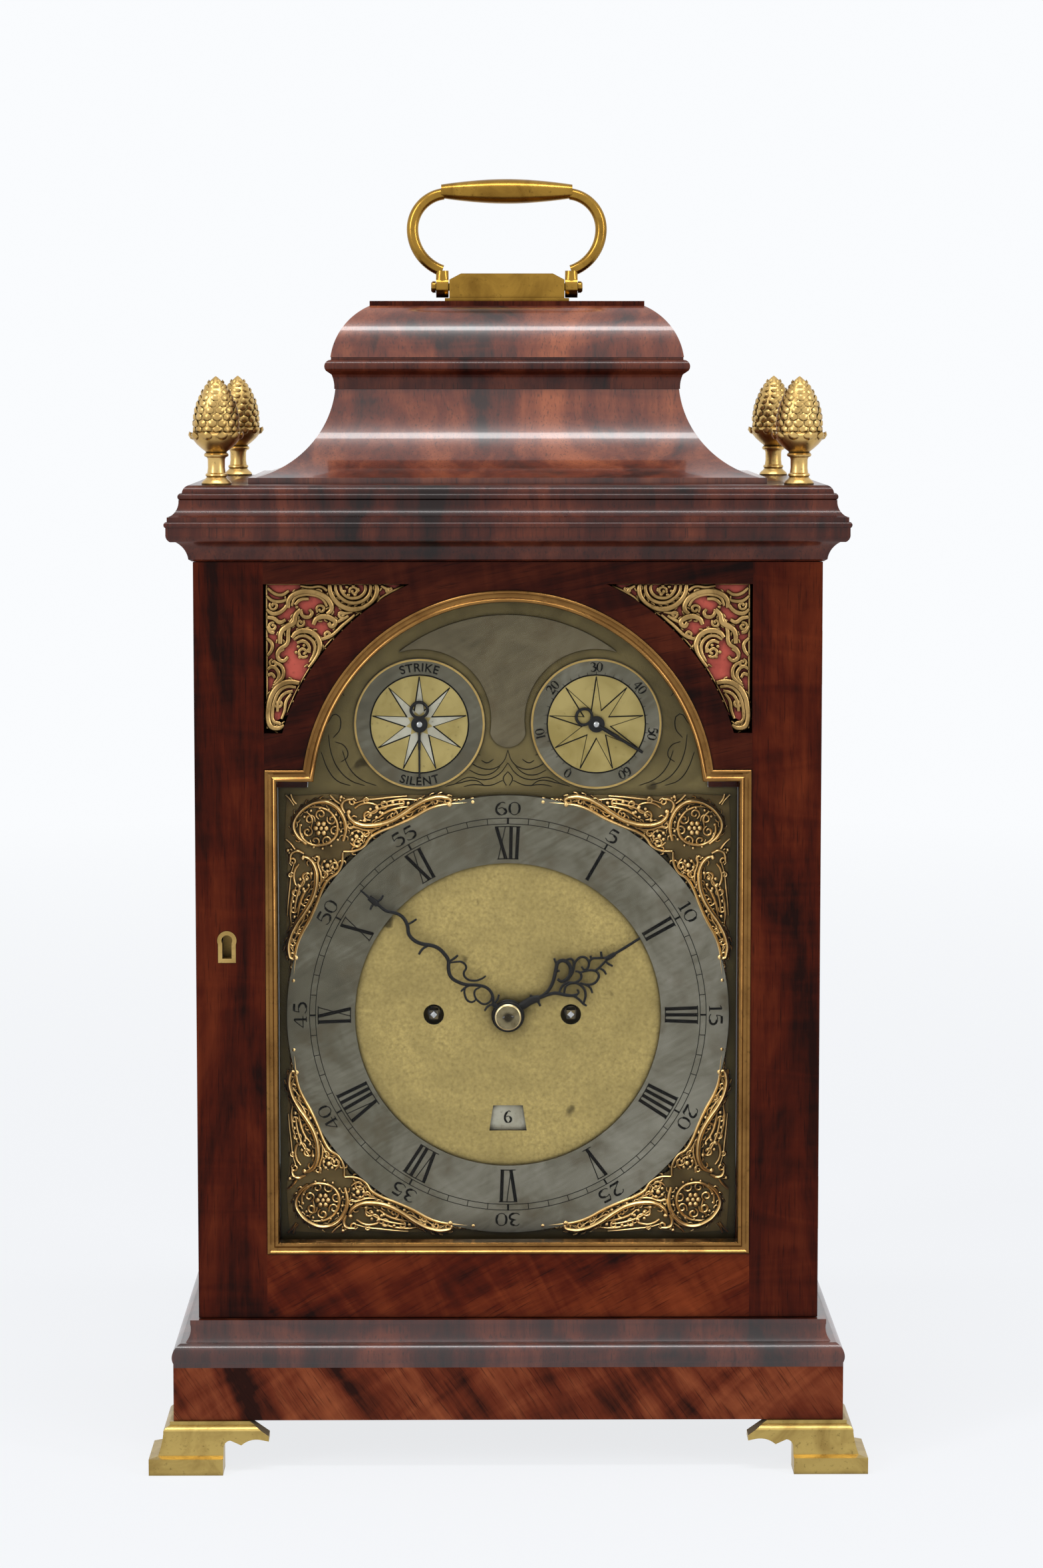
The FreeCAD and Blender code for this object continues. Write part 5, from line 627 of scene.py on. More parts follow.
THICK, THIN = 0.100, 0.040
DIGITS = {
    "0": (0.62, [(THIN, [(0.31, 0.98), (0.16, 0.9), (0.06, 0.7)]), (THICK, [(0.1, 0.82), (0.05, 0.5), (0.1, 0.18)]),
                 (THIN, [(0.06, 0.3), (0.16, 0.1), (0.31, 0.02), (0.46, 0.1), (0.56, 0.3)]),
                 (THICK, [(0.52, 0.18), (0.57, 0.5), (0.52, 0.82)]), (THIN, [(0.56, 0.7), (0.46, 0.9), (0.31, 0.98)])]),
    "1": (0.36, [(THICK, [(0.2, 0.02), (0.2, 0.5), (0.2, 0.98)]), (THIN, [(0.06, 0.02), (0.34, 0.02)]),
                 (THIN, [(0.05, 0.86), (0.2, 0.97)])]),
    "2": (0.62, [(THIN, [(0.06, 0.74), (0.1, 0.9), (0.28, 0.99)]), (THICK, [(0.28, 0.97), (0.5, 0.9), (0.53, 0.68), (0.4, 0.45)]),
                 (THIN, [(0.44, 0.5), (0.2, 0.2), (0.04, 0.03)]), (THICK, [(0.05, 0.05), (0.3, 0.06), (0.56, 0.04)]),
                 (THIN, [(0.57, 0.03), (0.6, 0.2)])]),
    "3": (0.6, [(THIN, [(0.08, 0.86), (0.2, 0.98), (0.34, 0.97)]), (THICK, [(0.34, 0.96), (0.5, 0.8), (0.42, 0.6)]),
                (THIN, [(0.45, 0.62), (0.34, 0.55), (0.24, 0.53)]), (THICK, [(0.34, 0.54), (0.55, 0.4), (0.52, 0.14), (0.34, 0.02)]),
                (THIN, [(0.36, 0.02), (0.16, 0.03), (0.04, 0.16)])]),
    "4": (0.66, [(THIN, [(0.44, 0.98), (0.22, 0.62), (0.03, 0.28)]), (THIN, [(0.03, 0.28), (0.34, 0.28), (0.64, 0.28)]),
                 (THICK, [(0.46, 0.02), (0.46, 0.5), (0.46, 0.96)]), (THIN, [(0.32, 0.02), (0.6, 0.02)])]),
    "5": (0.6, [(THICK, [(0.15, 0.95), (0.34, 0.96), (0.52, 0.95)]), (THIN, [(0.15, 0.95), (0.12, 0.75), (0.1, 0.54)]),
                (THIN, [(0.1, 0.54), (0.22, 0.62), (0.36, 0.62)]), (THICK, [(0.34, 0.61), (0.55, 0.45), (0.54, 0.16), (0.34, 0.02)]),
                (THIN, [(0.38, 0.02), (0.18, 0.01), (0.04, 0.13)])]),
    "6": (0.6, [(THIN, [(0.52, 0.9), (0.38, 0.98), (0.22, 0.88)]), (THICK, [(0.24, 0.9), (0.08, 0.62), (0.07, 0.26), (0.22, 0.03)]),
                (THIN, [(0.2, 0.03), (0.34, 0.01), (0.46, 0.06)]), (THICK, [(0.44, 0.05), (0.56, 0.26), (0.46, 0.5)]),
                (THIN, [(0.48, 0.48), (0.34, 0.56), (0.16, 0.48)])]),
    "7": (0.58, [(THICK, [(0.05, 0.95), (0.3, 0.95), (0.55, 0.95)]), (THIN, [(0.05, 0.95), (0.04, 0.8)]),
                 (THIN, [(0.55, 0.94), (0.38, 0.6), (0.28, 0.3)]), (THICK, [(0.32, 0.4), (0.24, 0.2), (0.22, 0.02)])]),
    "8": (0.62, [(THICK, [(0.31, 0.98), (0.13, 0.86), (0.16, 0.64), (0.42, 0.46), (0.55, 0.24), (0.42, 0.05), (0.31, 0.02)]),
                 (THIN, [(0.31, 0.98), (0.48, 0.86), (0.46, 0.66), (0.2, 0.46), (0.07, 0.24), (0.18, 0.05), (0.31, 0.02)])]),
    "9": (0.6, [(THIN, [(0.08, 0.1), (0.22, 0.02), (0.38, 0.12)]), (THICK, [(0.36, 0.1), (0.52, 0.38), (0.53, 0.74), (0.38, 0.97)]),
                (THIN, [(0.4, 0.97), (0.26, 0.99), (0.14, 0.94)]), (THICK, [(0.16, 0.95), (0.04, 0.74), (0.14, 0.5)]),
                (THIN, [(0.12, 0.52), (0.26, 0.44), (0.44, 0.52)])]),
}
HOURS = ("XII", "I", "II", "III", "IIII", "V", "VI", "VII", "VIII", "IX", "X", "XI")
BAR, SLANT = 2.5, 4.8        # how much room a bar and a slanted numeral letter take, in mm
BOLD, FINE = 0.78, 0.22      # half widths of a numeral's thick and thin bars, in mm


def digits(text, height, stretch=1.0):
    """A number's strokes, middled, with its foot on 0; stretch widens each figure."""
    step = height * stretch
    wide = sum(DIGITS[one][0] for one in text) * step + 0.08 * step * (len(text) - 1)
    at, strokes = -wide / 2, []
    for one in text:
        width, parts = DIGITS[one]
        strokes += [(half * height, [(at + x * step, y * height) for x, y in points]) for half, points in parts]
        at += (width + 0.08) * step
    return strokes


def roman(text, high):
    """An hour numeral's strokes: thick and thin bars with fine serifs, middled, with its foot on 0."""
    wide = sum(BAR if one == "I" else SLANT for one in text)
    at, strokes = -wide / 2, []
    for one in text:
        middle = at + SLANT / 2
        if one == "I":
            strokes.append((BOLD, [(at + BAR / 2, 0.0), (at + BAR / 2, high)]))
        elif one == "V":
            strokes += [(BOLD, [(at + 0.9, high), (middle, 0.1)]), (FINE, [(at + SLANT - 0.7, high), (middle, 0.1)])]
        else:
            strokes += [(BOLD, [(at + 0.8, high), (at + SLANT - 0.8, 0.0)]),
                        (FINE, [(at + SLANT - 0.8, high), (at + 0.8, 0.0)])]
        at += BAR if one == "I" else SLANT
    for foot in (0.0, high):
        strokes.append((FINE, [(-wide / 2 + 0.35, foot), (0.0, foot), (wide / 2 - 0.35, foot)]))
    return strokes


def wrapped(strokes, middle, radius, turn):
    """Strokes written round a ring; they become points on the dial."""
    place = round_a_ring(middle, radius)
    return [(half, [place(turn + math.degrees(x / (radius + 6.0)), y) for x, y in points]) for half, points in strokes]


def arc(middle, radius, start, stop, half, count=9):
    place = round_a_ring(middle, radius)
    return (half, [place(start + (stop - start) * step / (count - 1), 0.0) for step in range(count)])


def straight(across, up):
    return across, up


# ---------------------------------------------------------------- traced scrollwork: (half width, points) in mm

MINUTE_STROKES = [
    (0.85, [(-3.8, 3.6), (-5.8, 5.1)]),
    (0.62, [(-5.8, 5.1), (-6.0, 8.4), (-7.9, 11.2), (-11.4, 12.4), (-16.2, 12.7), (-19.3, 13.7),
            (-22.1, 15.7), (-23.1, 19.0), (-23.1, 22.1), (-24.6, 24.6), (-27.4, 27.2), (-30.5, 28.2),
            (-33.5, 28.7), (-36.5, 30.2), (-38.5, 32.7), (-38.8, 35.3), (-39.8, 37.8), (-41.6, 39.8),
            (-44.2, 40.9), (-47.2, 41.6), (-49.5, 43.3), (-51.8, 45.2)]),
    (0.36, [(-49.2, 43.1), (-52.5, 45.5), (-54.8, 47.7), (-57.1, 49.7)]),
    (1.0, [(-50.4, 43.9), (-51.6, 45.0), (-53.8, 46.8)]),
    (0.38, [(-51.8, 45.2), (-49.6, 45.8), (-48.2, 47.7)]),
    (0.38, [(-51.3, 44.4), (-52.5, 43.7), (-53.3, 42.0)]),
    (0.36, [(-5.8, 5.1), (-4.1, 6.9), (-3.5, 8.8)]),
    (0.36, [(-5.8, 5.1), (-7.9, 4.1), (-9.1, 2.4)]),
    (0.36, [(-10.7, 11.7), (-12.8, 10.4), (-12.8, 7.9), (-11.4, 6.1), (-9.1, 5.0), (-7.0, 6.1),
            (-6.1, 8.4)]),
    (0.36, [(-16.0, 12.5), (-16.9, 10.4), (-16.6, 8.1), (-15.5, 6.3), (-13.7, 5.9), (-12.1, 7.3)]),
    (0.36, [(-15.2, 12.2), (-16.8, 11.4), (-18.3, 10.0)]),
    (0.36, [(-22.7, 21.2), (-20.3, 21.6), (-17.8, 21.5), (-16.2, 19.5), (-17.2, 17.1), (-16.0, 15.0),
            (-13.2, 14.2), (-10.2, 15.0), (-8.6, 16.1)]),
    (0.40, [(-22.7, 21.8), (-20.8, 23.0), (-19.4, 24.2)]),
    (0.36, [(-38.6, 36.4), (-37.1, 37.2), (-35.4, 38.4)]),
    (0.42, [(-31.0, 27.9), (-33.2, 26.6), (-34.6, 24.5)]),
]
HOUR_STROKES = [
    (1.35, [(3.8, 3.0), (6.1, 4.3), (9.1, 6.1), (12.2, 6.9)]),
    (0.40, [(9.6, 6.6), (9.2, 7.6), (8.5, 8.1)]),
    (0.40, [(10.7, 6.3), (11.9, 5.1), (12.6, 3.8)]),
    (0.62, [(11.7, 7.1), (14.7, 8.9), (16.8, 11.7), (18.0, 15.2), (18.7, 18.5), (19.4, 20.8), (21.6, 21.7),
            (23.9, 19.8), (24.3, 17.3), (23.1, 14.7), (20.8, 13.5), (19.2, 14.4)]),
    (0.40, [(18.8, 20.3), (17.9, 22.6)]),
    (0.40, [(18.7, 17.3), (20.1, 17.8)]),
    (0.58, [(12.2, 6.9), (16.2, 8.5), (18.8, 8.9), (22.6, 8.1), (26.9, 7.8)]),
    (0.40, [(24.9, 8.0), (27.4, 6.6), (29.4, 4.6), (30.6, 3.9)]),
    (0.45, [(21.8, 8.9), (22.6, 11.7), (25.4, 12.9), (28.5, 11.8), (30.1, 8.9), (29.4, 4.8)]),
    (0.40, [(19.8, 9.1), (21.3, 11.9), (23.1, 13.0), (25.4, 13.0)]),
    (0.42, [(22.8, 22.1), (24.9, 22.1), (25.5, 19.5), (25.0, 16.8), (22.9, 13.7)]),
    (0.42, [(23.6, 12.9), (26.9, 13.4), (28.5, 15.2), (27.7, 17.1), (26.1, 17.5)]),
    (0.42, [(25.5, 18.5), (26.5, 21.6), (28.9, 23.1), (31.1, 21.8), (31.3, 19.5), (29.9, 18.0),
            (28.5, 19.3)]),
    (0.42, [(27.7, 16.8), (29.9, 17.5), (33.0, 17.8), (35.1, 16.5), (35.0, 14.5), (33.0, 12.5),
            (30.2, 12.3), (27.9, 12.9)]),
    (0.42, [(31.3, 20.6), (32.5, 22.3), (35.0, 22.6), (39.1, 22.8)]),
    (0.42, [(32.2, 22.6), (32.1, 23.6)]),
    (0.42, [(36.4, 22.8), (36.1, 25.2)]),
    (0.42, [(33.5, 17.5), (35.0, 18.5), (36.8, 20.3), (39.1, 22.6)]),
    (0.38, [(37.6, 21.6), (39.1, 20.3), (40.7, 19.5)]),
    (0.38, [(35.8, 18.5), (37.1, 17.8), (38.2, 16.2)]),
    (0.38, [(29.9, 12.4), (32.0, 10.9), (32.8, 8.9)]),
    (0.38, [(25.1, 8.1), (27.4, 8.9), (26.9, 10.4)]),
    (0.80, [(37.6, 22.1), (39.3, 22.9), (41.6, 24.4)]),
    (0.48, [(40.1, 23.5), (45.2, 26.6), (51.3, 30.5)]),
]
SPANDREL_HALF = [
    (1.05, [(26.4, 8.9), (27.4, 11.5), (30.5, 13.7), (35.6, 14.3), (42.0, 13.0), (47.7, 9.9), (52.8, 6.4),
            (58.5, 3.8), (63.6, 3.3), (66.5, 4.8), (64.2, 6.0)]),
    (0.80, [(24.8, 24.5), (29.3, 24.3), (33.1, 22.3), (35.0, 19.4), (38.8, 16.9), (44.5, 14.6),
            (51.5, 11.5), (57.3, 8.3), (61.7, 6.7), (66.2, 6.0), (72.5, 5.4), (74.7, 5.2)]),
    (0.55, [(29.3, 7.6), (31.8, 6.0), (35.6, 5.7), (38.2, 7.3), (36.9, 9.5), (34.0, 8.9)]),
    (0.60, [(38.2, 11.5), (41.3, 9.2), (45.8, 7.6), (50.9, 7.0)]),
    (0.60, [(33.1, 10.8), (38.2, 8.0), (43.3, 6.4), (48.3, 5.7)]),
    (0.55, [(38.2, 6.4), (43.3, 4.8), (49.0, 4.1), (53.4, 4.5)]),
    (0.50, [(28.0, 6.0), (33.1, 4.5), (38.2, 3.9), (43.9, 3.3), (49.6, 2.9)]),
    (0.50, [(42.0, 12.1), (46.4, 10.5), (51.5, 8.9), (55.7, 6.0)]),
    (0.75, [(25.4, 9.5), (24.2, 6.4), (25.4, 4.5), (28.6, 4.1)]),
    (0.55, [(19.7, 2.5), (21.6, 4.5), (24.2, 6.4)]),
    (0.50, [(27.4, 18.4), (29.3, 16.5), (31.8, 16.9), (32.3, 19.1), (30.2, 20.7), (28.0, 20.0)]),
    (0.50, [(32.1, 18.4), (34.7, 17.2), (38.2, 15.6)]),
    (0.50, [(27.4, 21.0), (29.3, 22.3), (32.1, 21.3)]),
    (0.60, [(26.1, 15.3), (29.3, 14.9), (33.1, 16.0), (36.9, 16.0)]),
    (0.50, [(53.4, 7.6), (56.6, 7.0), (60.1, 4.6)]),
    (0.45, [(61.7, 4.1), (63.6, 5.1)]),
]
WREATH = [
    (1.10, [(10.5, 21.6), (7.0, 18.4), (5.4, 14.3), (7.0, 10.2), (11.1, 6.4), (16.5, 4.8), (21.3, 6.4),
            (24.5, 10.2), (25.8, 15.3), (24.8, 20.4)]),
    (0.75, [(12.7, 7.0), (17.2, 7.6), (21.0, 10.5), (22.6, 15.3), (21.0, 19.7), (16.5, 21.9), (11.5, 21.3),
            (8.3, 17.8), (8.1, 13.7)]),
    (0.60, [(10.5, 8.9), (12.7, 11.5), (12.4, 15.3)]),
    (0.50, [(2.5, 2.5), (4.1, 4.1), (5.7, 6.4)]),
    (0.50, [(4.5, 2.2), (5.4, 4.5), (6.7, 6.0)]),
]
FRET_STROKES = [
    (0.75, [(8.9, 9.8), (9.2, 6.6), (12.7, 3.9), (17.3, 3.5), (21.8, 4.8), (24.7, 7.3), (25.4, 10.4),
            (23.8, 12.1)]),
    (0.50, [(10.3, 9.1), (11.5, 6.1), (14.7, 4.8), (18.8, 4.9), (22.3, 6.6), (23.7, 9.3)]),
    (0.50, [(11.5, 8.6), (13.7, 6.6), (16.8, 6.4)]),
    (0.75, [(24.7, 1.0), (25.2, 4.3), (27.4, 7.6), (30.9, 9.8), (34.4, 10.4), (38.5, 9.3), (41.8, 6.3),
            (42.8, 2.8), (42.5, 0.8)]),
    (0.55, [(26.9, 0.9), (27.3, 3.8), (29.4, 6.3), (32.9, 7.9), (37.0, 7.3), (39.5, 5.3), (40.4, 2.8),
            (40.3, 0.9)]),
    (0.50, [(28.8, 0.9), (29.4, 3.5), (31.4, 5.6), (34.2, 6.1), (37.0, 5.1), (38.4, 3.0), (38.2, 1.0)]),
    (0.80, [(13.7, 10.4), (11.7, 12.6), (11.0, 15.4), (8.4, 16.9), (6.2, 18.9), (5.8, 23.5)]),
    (0.60, [(12.7, 11.9), (9.9, 15.2), (8.9, 18.9), (8.4, 23.5), (5.7, 25.5), (4.6, 28.0), (6.2, 30.1)]),
    (0.55, [(13.7, 10.4), (14.2, 12.6), (16.5, 13.4), (18.0, 11.9), (17.0, 10.4)]),
    (0.75, [(18.5, 16.2), (19.5, 14.1), (22.3, 13.1), (25.4, 13.9), (26.9, 15.4), (25.4, 16.9),
            (24.3, 15.4)]),
    (0.75, [(10.3, 21.2), (11.7, 19.4), (14.7, 18.5), (18.3, 19.4), (20.7, 22.5), (20.8, 26.0),
            (18.8, 30.1), (16.8, 32.6)]),
    (0.50, [(11.0, 22.0), (13.7, 20.5), (16.8, 21.2), (18.9, 24.0), (18.8, 27.0), (17.3, 30.1)]),
    (0.50, [(12.2, 23.2), (14.7, 22.5), (16.8, 24.5), (16.9, 27.0)]),
    (0.55, [(7.2, 25.5), (5.2, 26.8), (4.9, 29.0), (6.9, 30.1), (8.7, 28.5)]),
    (0.55, [(0.9, 33.3), (2.6, 32.3), (4.6, 33.6), (5.2, 36.1), (3.6, 38.6)]),
    (0.55, [(3.6, 30.6), (6.2, 32.1), (6.9, 35.6), (5.2, 38.1), (3.1, 39.6)]),
    (0.50, [(1.1, 35.6), (2.6, 35.1), (3.6, 36.6)]),
    (0.80, [(13.0, 38.6), (9.2, 38.1), (5.2, 39.6), (2.4, 43.2), (1.1, 48.2), (0.9, 52.3), (2.1, 55.3),
            (4.6, 56.1), (7.2, 55.1)]),
    (0.55, [(11.7, 40.2), (8.2, 39.9), (5.2, 41.9), (3.4, 45.7), (2.6, 49.7), (3.1, 53.3), (5.4, 54.0)]),
    (0.50, [(10.5, 41.7), (7.2, 42.7), (4.9, 46.2), (4.6, 49.5)]),
    (0.50, [(9.9, 42.7), (7.9, 45.7), (7.4, 49.2), (6.2, 52.3)]),
    (0.60, [(0.6, 10.4), (2.6, 11.9), (4.6, 11.9), (7.2, 10.4), (8.4, 8.8)]),
    (0.60, [(0.9, 13.4), (3.6, 13.9), (5.7, 15.4), (7.9, 14.4)]),
    (0.50, [(0.6, 16.9), (1.9, 18.9), (3.6, 19.4)]),
    (0.55, [(0.6, 21.5), (2.6, 23.5), (2.4, 26.0), (0.9, 28.0)]),
    (0.50, [(1.1, 2.3), (3.6, 4.3), (6.7, 4.8), (9.2, 3.3)]),
    (0.50, [(0.6, 5.3), (3.1, 7.1), (6.2, 7.3), (8.7, 6.6)]),
    (0.50, [(13.7, 1.3), (17.3, 2.0), (21.3, 1.5), (23.8, 3.3)]),
    (0.45, [(27.9, 11.9), (30.4, 11.9), (33.4, 11.4)]),
    (0.60, [(20.8, 22.0), (22.8, 21.5), (25.4, 20.5), (27.4, 18.9), (29.4, 16.9), (32.4, 14.4),
            (34.4, 12.6)]),
    (0.45, [(21.3, 23.5), (22.3, 25.0)]),
    (0.50, [(25.9, 16.9), (27.4, 15.4), (29.4, 14.4), (31.9, 12.9)]),
    (0.50, [(43.0, 7.8), (45.1, 5.8), (47.6, 4.3), (50.6, 2.8), (53.1, 1.5)]),
    (0.50, [(44.5, 1.3), (46.6, 2.8), (47.6, 4.3)]),
]


# ---------------------------------------------------------------- the dial

RING_FACE, PLATE_FACE, SUB_FACE = -61.6, -60.0, -61.0
ARCH_MIDDLE = 260.6
SUBS = ((-34.2, 287.2), (34.2, 287.2))


def make_chapters(wax):
    """Hours, minutes and the minute track on the silvered ring, filled with black wax."""
    strokes = []
    for hour, text in enumerate(HOURS):
        strokes += wrapped(roman(text, 12.6), DIAL, 61.3, hour * 30.0)
        strokes += wrapped(digits(str(hour * 5 or 60), 5.1, 1.55), DIAL, 78.4, hour * 30.0)
    for radius, half in ((77.2, 0.17), (74.9, 0.17)):
        strokes += [arc(DIAL, radius, start, start + 90.0, half, 19) for start in (0.0, 90.0, 180.0, 270.0)]
    for minute in range(60):
        place = round_a_ring(DIAL, 0.0)
        half = 0.42 if minute % 5 == 0 else 0.17
        strokes.append((half, [place(minute * 6.0, 75.0), place(minute * 6.0, 77.1)]))
    piece = wires(strokes, straight, RING_FACE, 0.18, 1, 3, 0.92)
    settle(piece, "hour_and_minute_marks", wax, "case", "silvered")


def make_date_numbers(wax):
    """The days of the month on the turning ring; the sixth shows in the window."""
    strokes = []
    for day in range(1, 32):
        angle = math.radians(180.0 - (day - 6) * 360.0 / 31)
        for half, points in digits(str(day), 4.8):
            placed = []
            for x, y in points:
                out, along = 43.3 - y, x
                placed.append((DIAL[0] + out * math.sin(angle) - along * math.cos(angle),
                               DIAL[1] + out * math.cos(angle) + along * math.sin(angle)))
            strokes.append((half, placed))
    piece = wires(strokes, straight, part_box("date_ring")[0][1] / MM, 0.18, 1, 3, 0.9)
    settle(piece, "date_numbers", wax, "date", "silvered")


ENGRAVED_HALF = [
    [(0.0, 277.0), (1.6, 272.6), (5.4, 269.8), (10.4, 270.0), (14.2, 272.8), (13.2, 275.6), (10.6, 275.0)],
    [(0.0, 272.0), (3.6, 267.4), (9.0, 265.4), (15.4, 266.4), (20.0, 264.2)],
    [(2.0, 265.2), (7.0, 263.2), (13.0, 263.6), (17.0, 262.8)],
    [(3.0, 270.6), (6.5, 267.8), (10.8, 267.4), (14.8, 269.2)],
    [(5.6, 273.4), (8.2, 272.0), (10.2, 273.0)],
    [(0.0, 268.6), (1.8, 266.0), (0.6, 263.2)],
    [(51.0, 263.2), (57.0, 265.6), (61.6, 270.4), (64.0, 276.8)],
    [(55.4, 263.2), (60.6, 265.0), (65.4, 269.4), (68.4, 276.0), (69.4, 283.0)],
    [(61.0, 263.2), (66.0, 265.0), (69.6, 269.4), (72.2, 276.2)],
    [(64.6, 272.4), (62.0, 274.6), (63.4, 278.8), (66.8, 280.2)],
    [(67.6, 281.8), (64.8, 285.6), (66.4, 291.0), (69.8, 287.4)],
    [(63.2, 298.0), (65.8, 302.6), (63.0, 308.4), (59.4, 312.2)],
    [(8.8, 262.9), (12.4, 265.2), (18.0, 264.4), (24.0, 262.9)],
]


def make_engraving(wax):
    """Engraved leaves on the dial plate, under and beside the small dials, and a line round the arch."""
    strokes = [arc((0.0, ARCH_MIDDLE), 76.4, -86.0 + 43.0 * step, -43.0 + 43.0 * step, 0.2, 11) for step in range(4)]
    for points in ENGRAVED_HALF:
        strokes += [(0.24, [(side * x, z) for x, z in points]) for side in (-1, 1)]
    piece = wires(strokes, straight, PLATE_FACE, 0.25, 1, 3, 0.4)
    settle(piece, "engraved_leaves", wax, "case", "dial_brass")


def make_subsidiary_marks(wax, pale, ground, rim):
    """Rings, rayed stars and their words and numbers on the two small dials."""
    marks = []
    for number, middle in enumerate(SUBS):
        rays = []
        for ray in range(9):
            turn = ray * 40.0
            place = round_a_ring(middle, 0.0)
            tip, heel = place(turn, 18.4), place(turn, 3.4)
            side, other = place(turn - 21.0, 5.4), place(turn + 21.0, 5.4)
            marks += [(0.3, [side, tip]), (0.16, [other, tip])]
            rays.append((tip, side, heel, other))
        star = None
        for corners in rays:
            ray = plaque(corners, SUB_FACE, 0.12)
            star = joined([star, ray]) if star else ray
        settle(star, "star_%d" % number, pale if number == 0 else ground, "case", "silvered")
        disc = turned([(19.0, 0.0), (19.0, 0.06)], (middle[0], SUB_FACE, middle[1]), (0, -1, 0), 64)
        settle(disc, "star_ground_%d" % number, ground, "case", "dial_brass")
        for radius, half, name, paint in ((19.0, 0.32, "line", wax), (24.9, 0.45, "rim", rim)):
            ring = wires([arc(middle, radius, start, start + 90.0, half, 9)
                          for start in (0.0, 90.0, 180.0, 270.0)], straight, SUB_FACE, 0.6, 1, 3, 1.0)
            settle(ring, "small_dial_%s_%d" % (name, number), paint, "case", "silvered")
    numbers = []
    for step in range(7):
        turn = -150.0 + step * 50.0
        numbers += wrapped(digits(str(step * 10), 3.6, 1.2), SUBS[1], 20.3, turn)
    for step in range(31):
        place = round_a_ring(SUBS[1], 0.0)
        numbers.append((0.1, [place(-150.0 + step * 10.0, 19.2), place(-150.0 + step * 10.0, 20.2)]))
    piece = wires(marks + numbers, straight, SUB_FACE - 0.1, 0.25, 1, 3, 0.85)
    settle(piece, "small_dial_marks", wax, "case", "silvered")
    for text, turn, flip in (("STRIKE", 0.0, 1), ("SILENT", 180.0, -1)):
        word(text, SUBS[0], turn, flip, wax)


def word(text, middle, turn, flip, wax):
    """A word round the silvered band of a small dial."""
    bpy.ops.object.text_add()
    label = bpy.context.object
    label.data.body, label.data.size, label.data.space_character = text, 4.6 * MM, 1.1
    label.data.align_x, label.data.extrude, label.data.offset = "CENTER", 0.06 * MM, 0.08 * MM
    bpy.ops.object.convert(target="MESH")
    label = bpy.context.object
    base = 20.4 if flip > 0 else 23.8
    for vert in label.data.vertices:
        x, y, thick = vert.co / MM
        angle = math.radians(turn) + flip * x / (base + 1.4 * flip)
        out = base + flip * y
        vert.co = Vector((middle[0] + out * math.sin(angle), SUB_FACE - thick, middle[1] + out * math.cos(angle))) * MM
    edit(label)
    bpy.ops.mesh.remove_doubles(threshold=0.000001)
    bpy.ops.mesh.normals_make_consistent(inside=False)
    done()
    settle(label, "word_%s" % text.lower(), wax, "case", "silvered")


SHADE_GROUND_HALF = [(3.0, 3.0), (20.0, 2.0), (30.0, 3.2), (45.0, 2.4), (60.0, 2.6), (74.0, 4.2), (74.5, 5.8),
               (66.0, 6.8), (58.0, 9.0), (51.0, 12.4), (44.0, 15.4), (38.5, 17.9), (35.0, 20.4), (32.5, 23.0),
               (28.5, 25.0), (25.5, 27.0)]


def leaves(points, size, spacing, lean=0.9, half=0.42):
    """Small curled leaves that spring from both sides of a scroll, for a fuller casting."""
    sprays, since = [], 0.0
    for (x0, y0), (x1, y1) in zip(points, points[1:]):
        run = math.hypot(x1 - x0, y1 - y0)
        along = (x1 - x0) / run, (y1 - y0) / run
        at = spacing - since
        while at < run:
            x, y = x0 + along[0] * at, y0 + along[1] * at
            for side in (-1, 1):
                out = -along[1] * side, along[0] * side
                tip = x + size * (out[0] + lean * along[0]), y + size * (out[1] + lean * along[1])
                bend = x + size * (0.75 * out[0] + 0.1 * along[0]), y + size * (0.75 * out[1] + 0.1 * along[1])
                sprays.append((half, [(x, y), bend, tip]))
            at += spacing
        since = (since + run) % spacing
    return sprays


def curl(across, up, size, start, half=0.5, hand=1):
    """A stroke that winds in to a point, as at the end of a scroll."""
    points = []
    for step in range(8):
        angle, reach = math.radians(start + hand * 62.0 * step), size * (1.0 - 0.11 * step)
        points.append((across + reach * math.cos(angle), up + reach * math.sin(angle)))
    return half, points


CURLS_HALF = [(30.5, 21.4, 2.3), (34.6, 10.4, 2.1), (40.4, 6.2, 1.9), (44.2, 10.2, 2.2), (38.4, 14.2, 1.9),
              (50.0, 9.4, 1.8), (54.6, 5.0, 1.6), (60.4, 5.2, 1.5), (69.4, 4.9, 1.3), (27.4, 14.2, 1.8),
              (28.4, 5.2, 1.6), (33.8, 4.4, 1.4), (47.2, 5.4, 1.5), (33.4, 17.6, 1.9), (24.8, 4.2, 1.3),
              (65.0, 4.6, 1.2), (42.6, 13.6, 1.3), (56.0, 7.6, 1.2)]


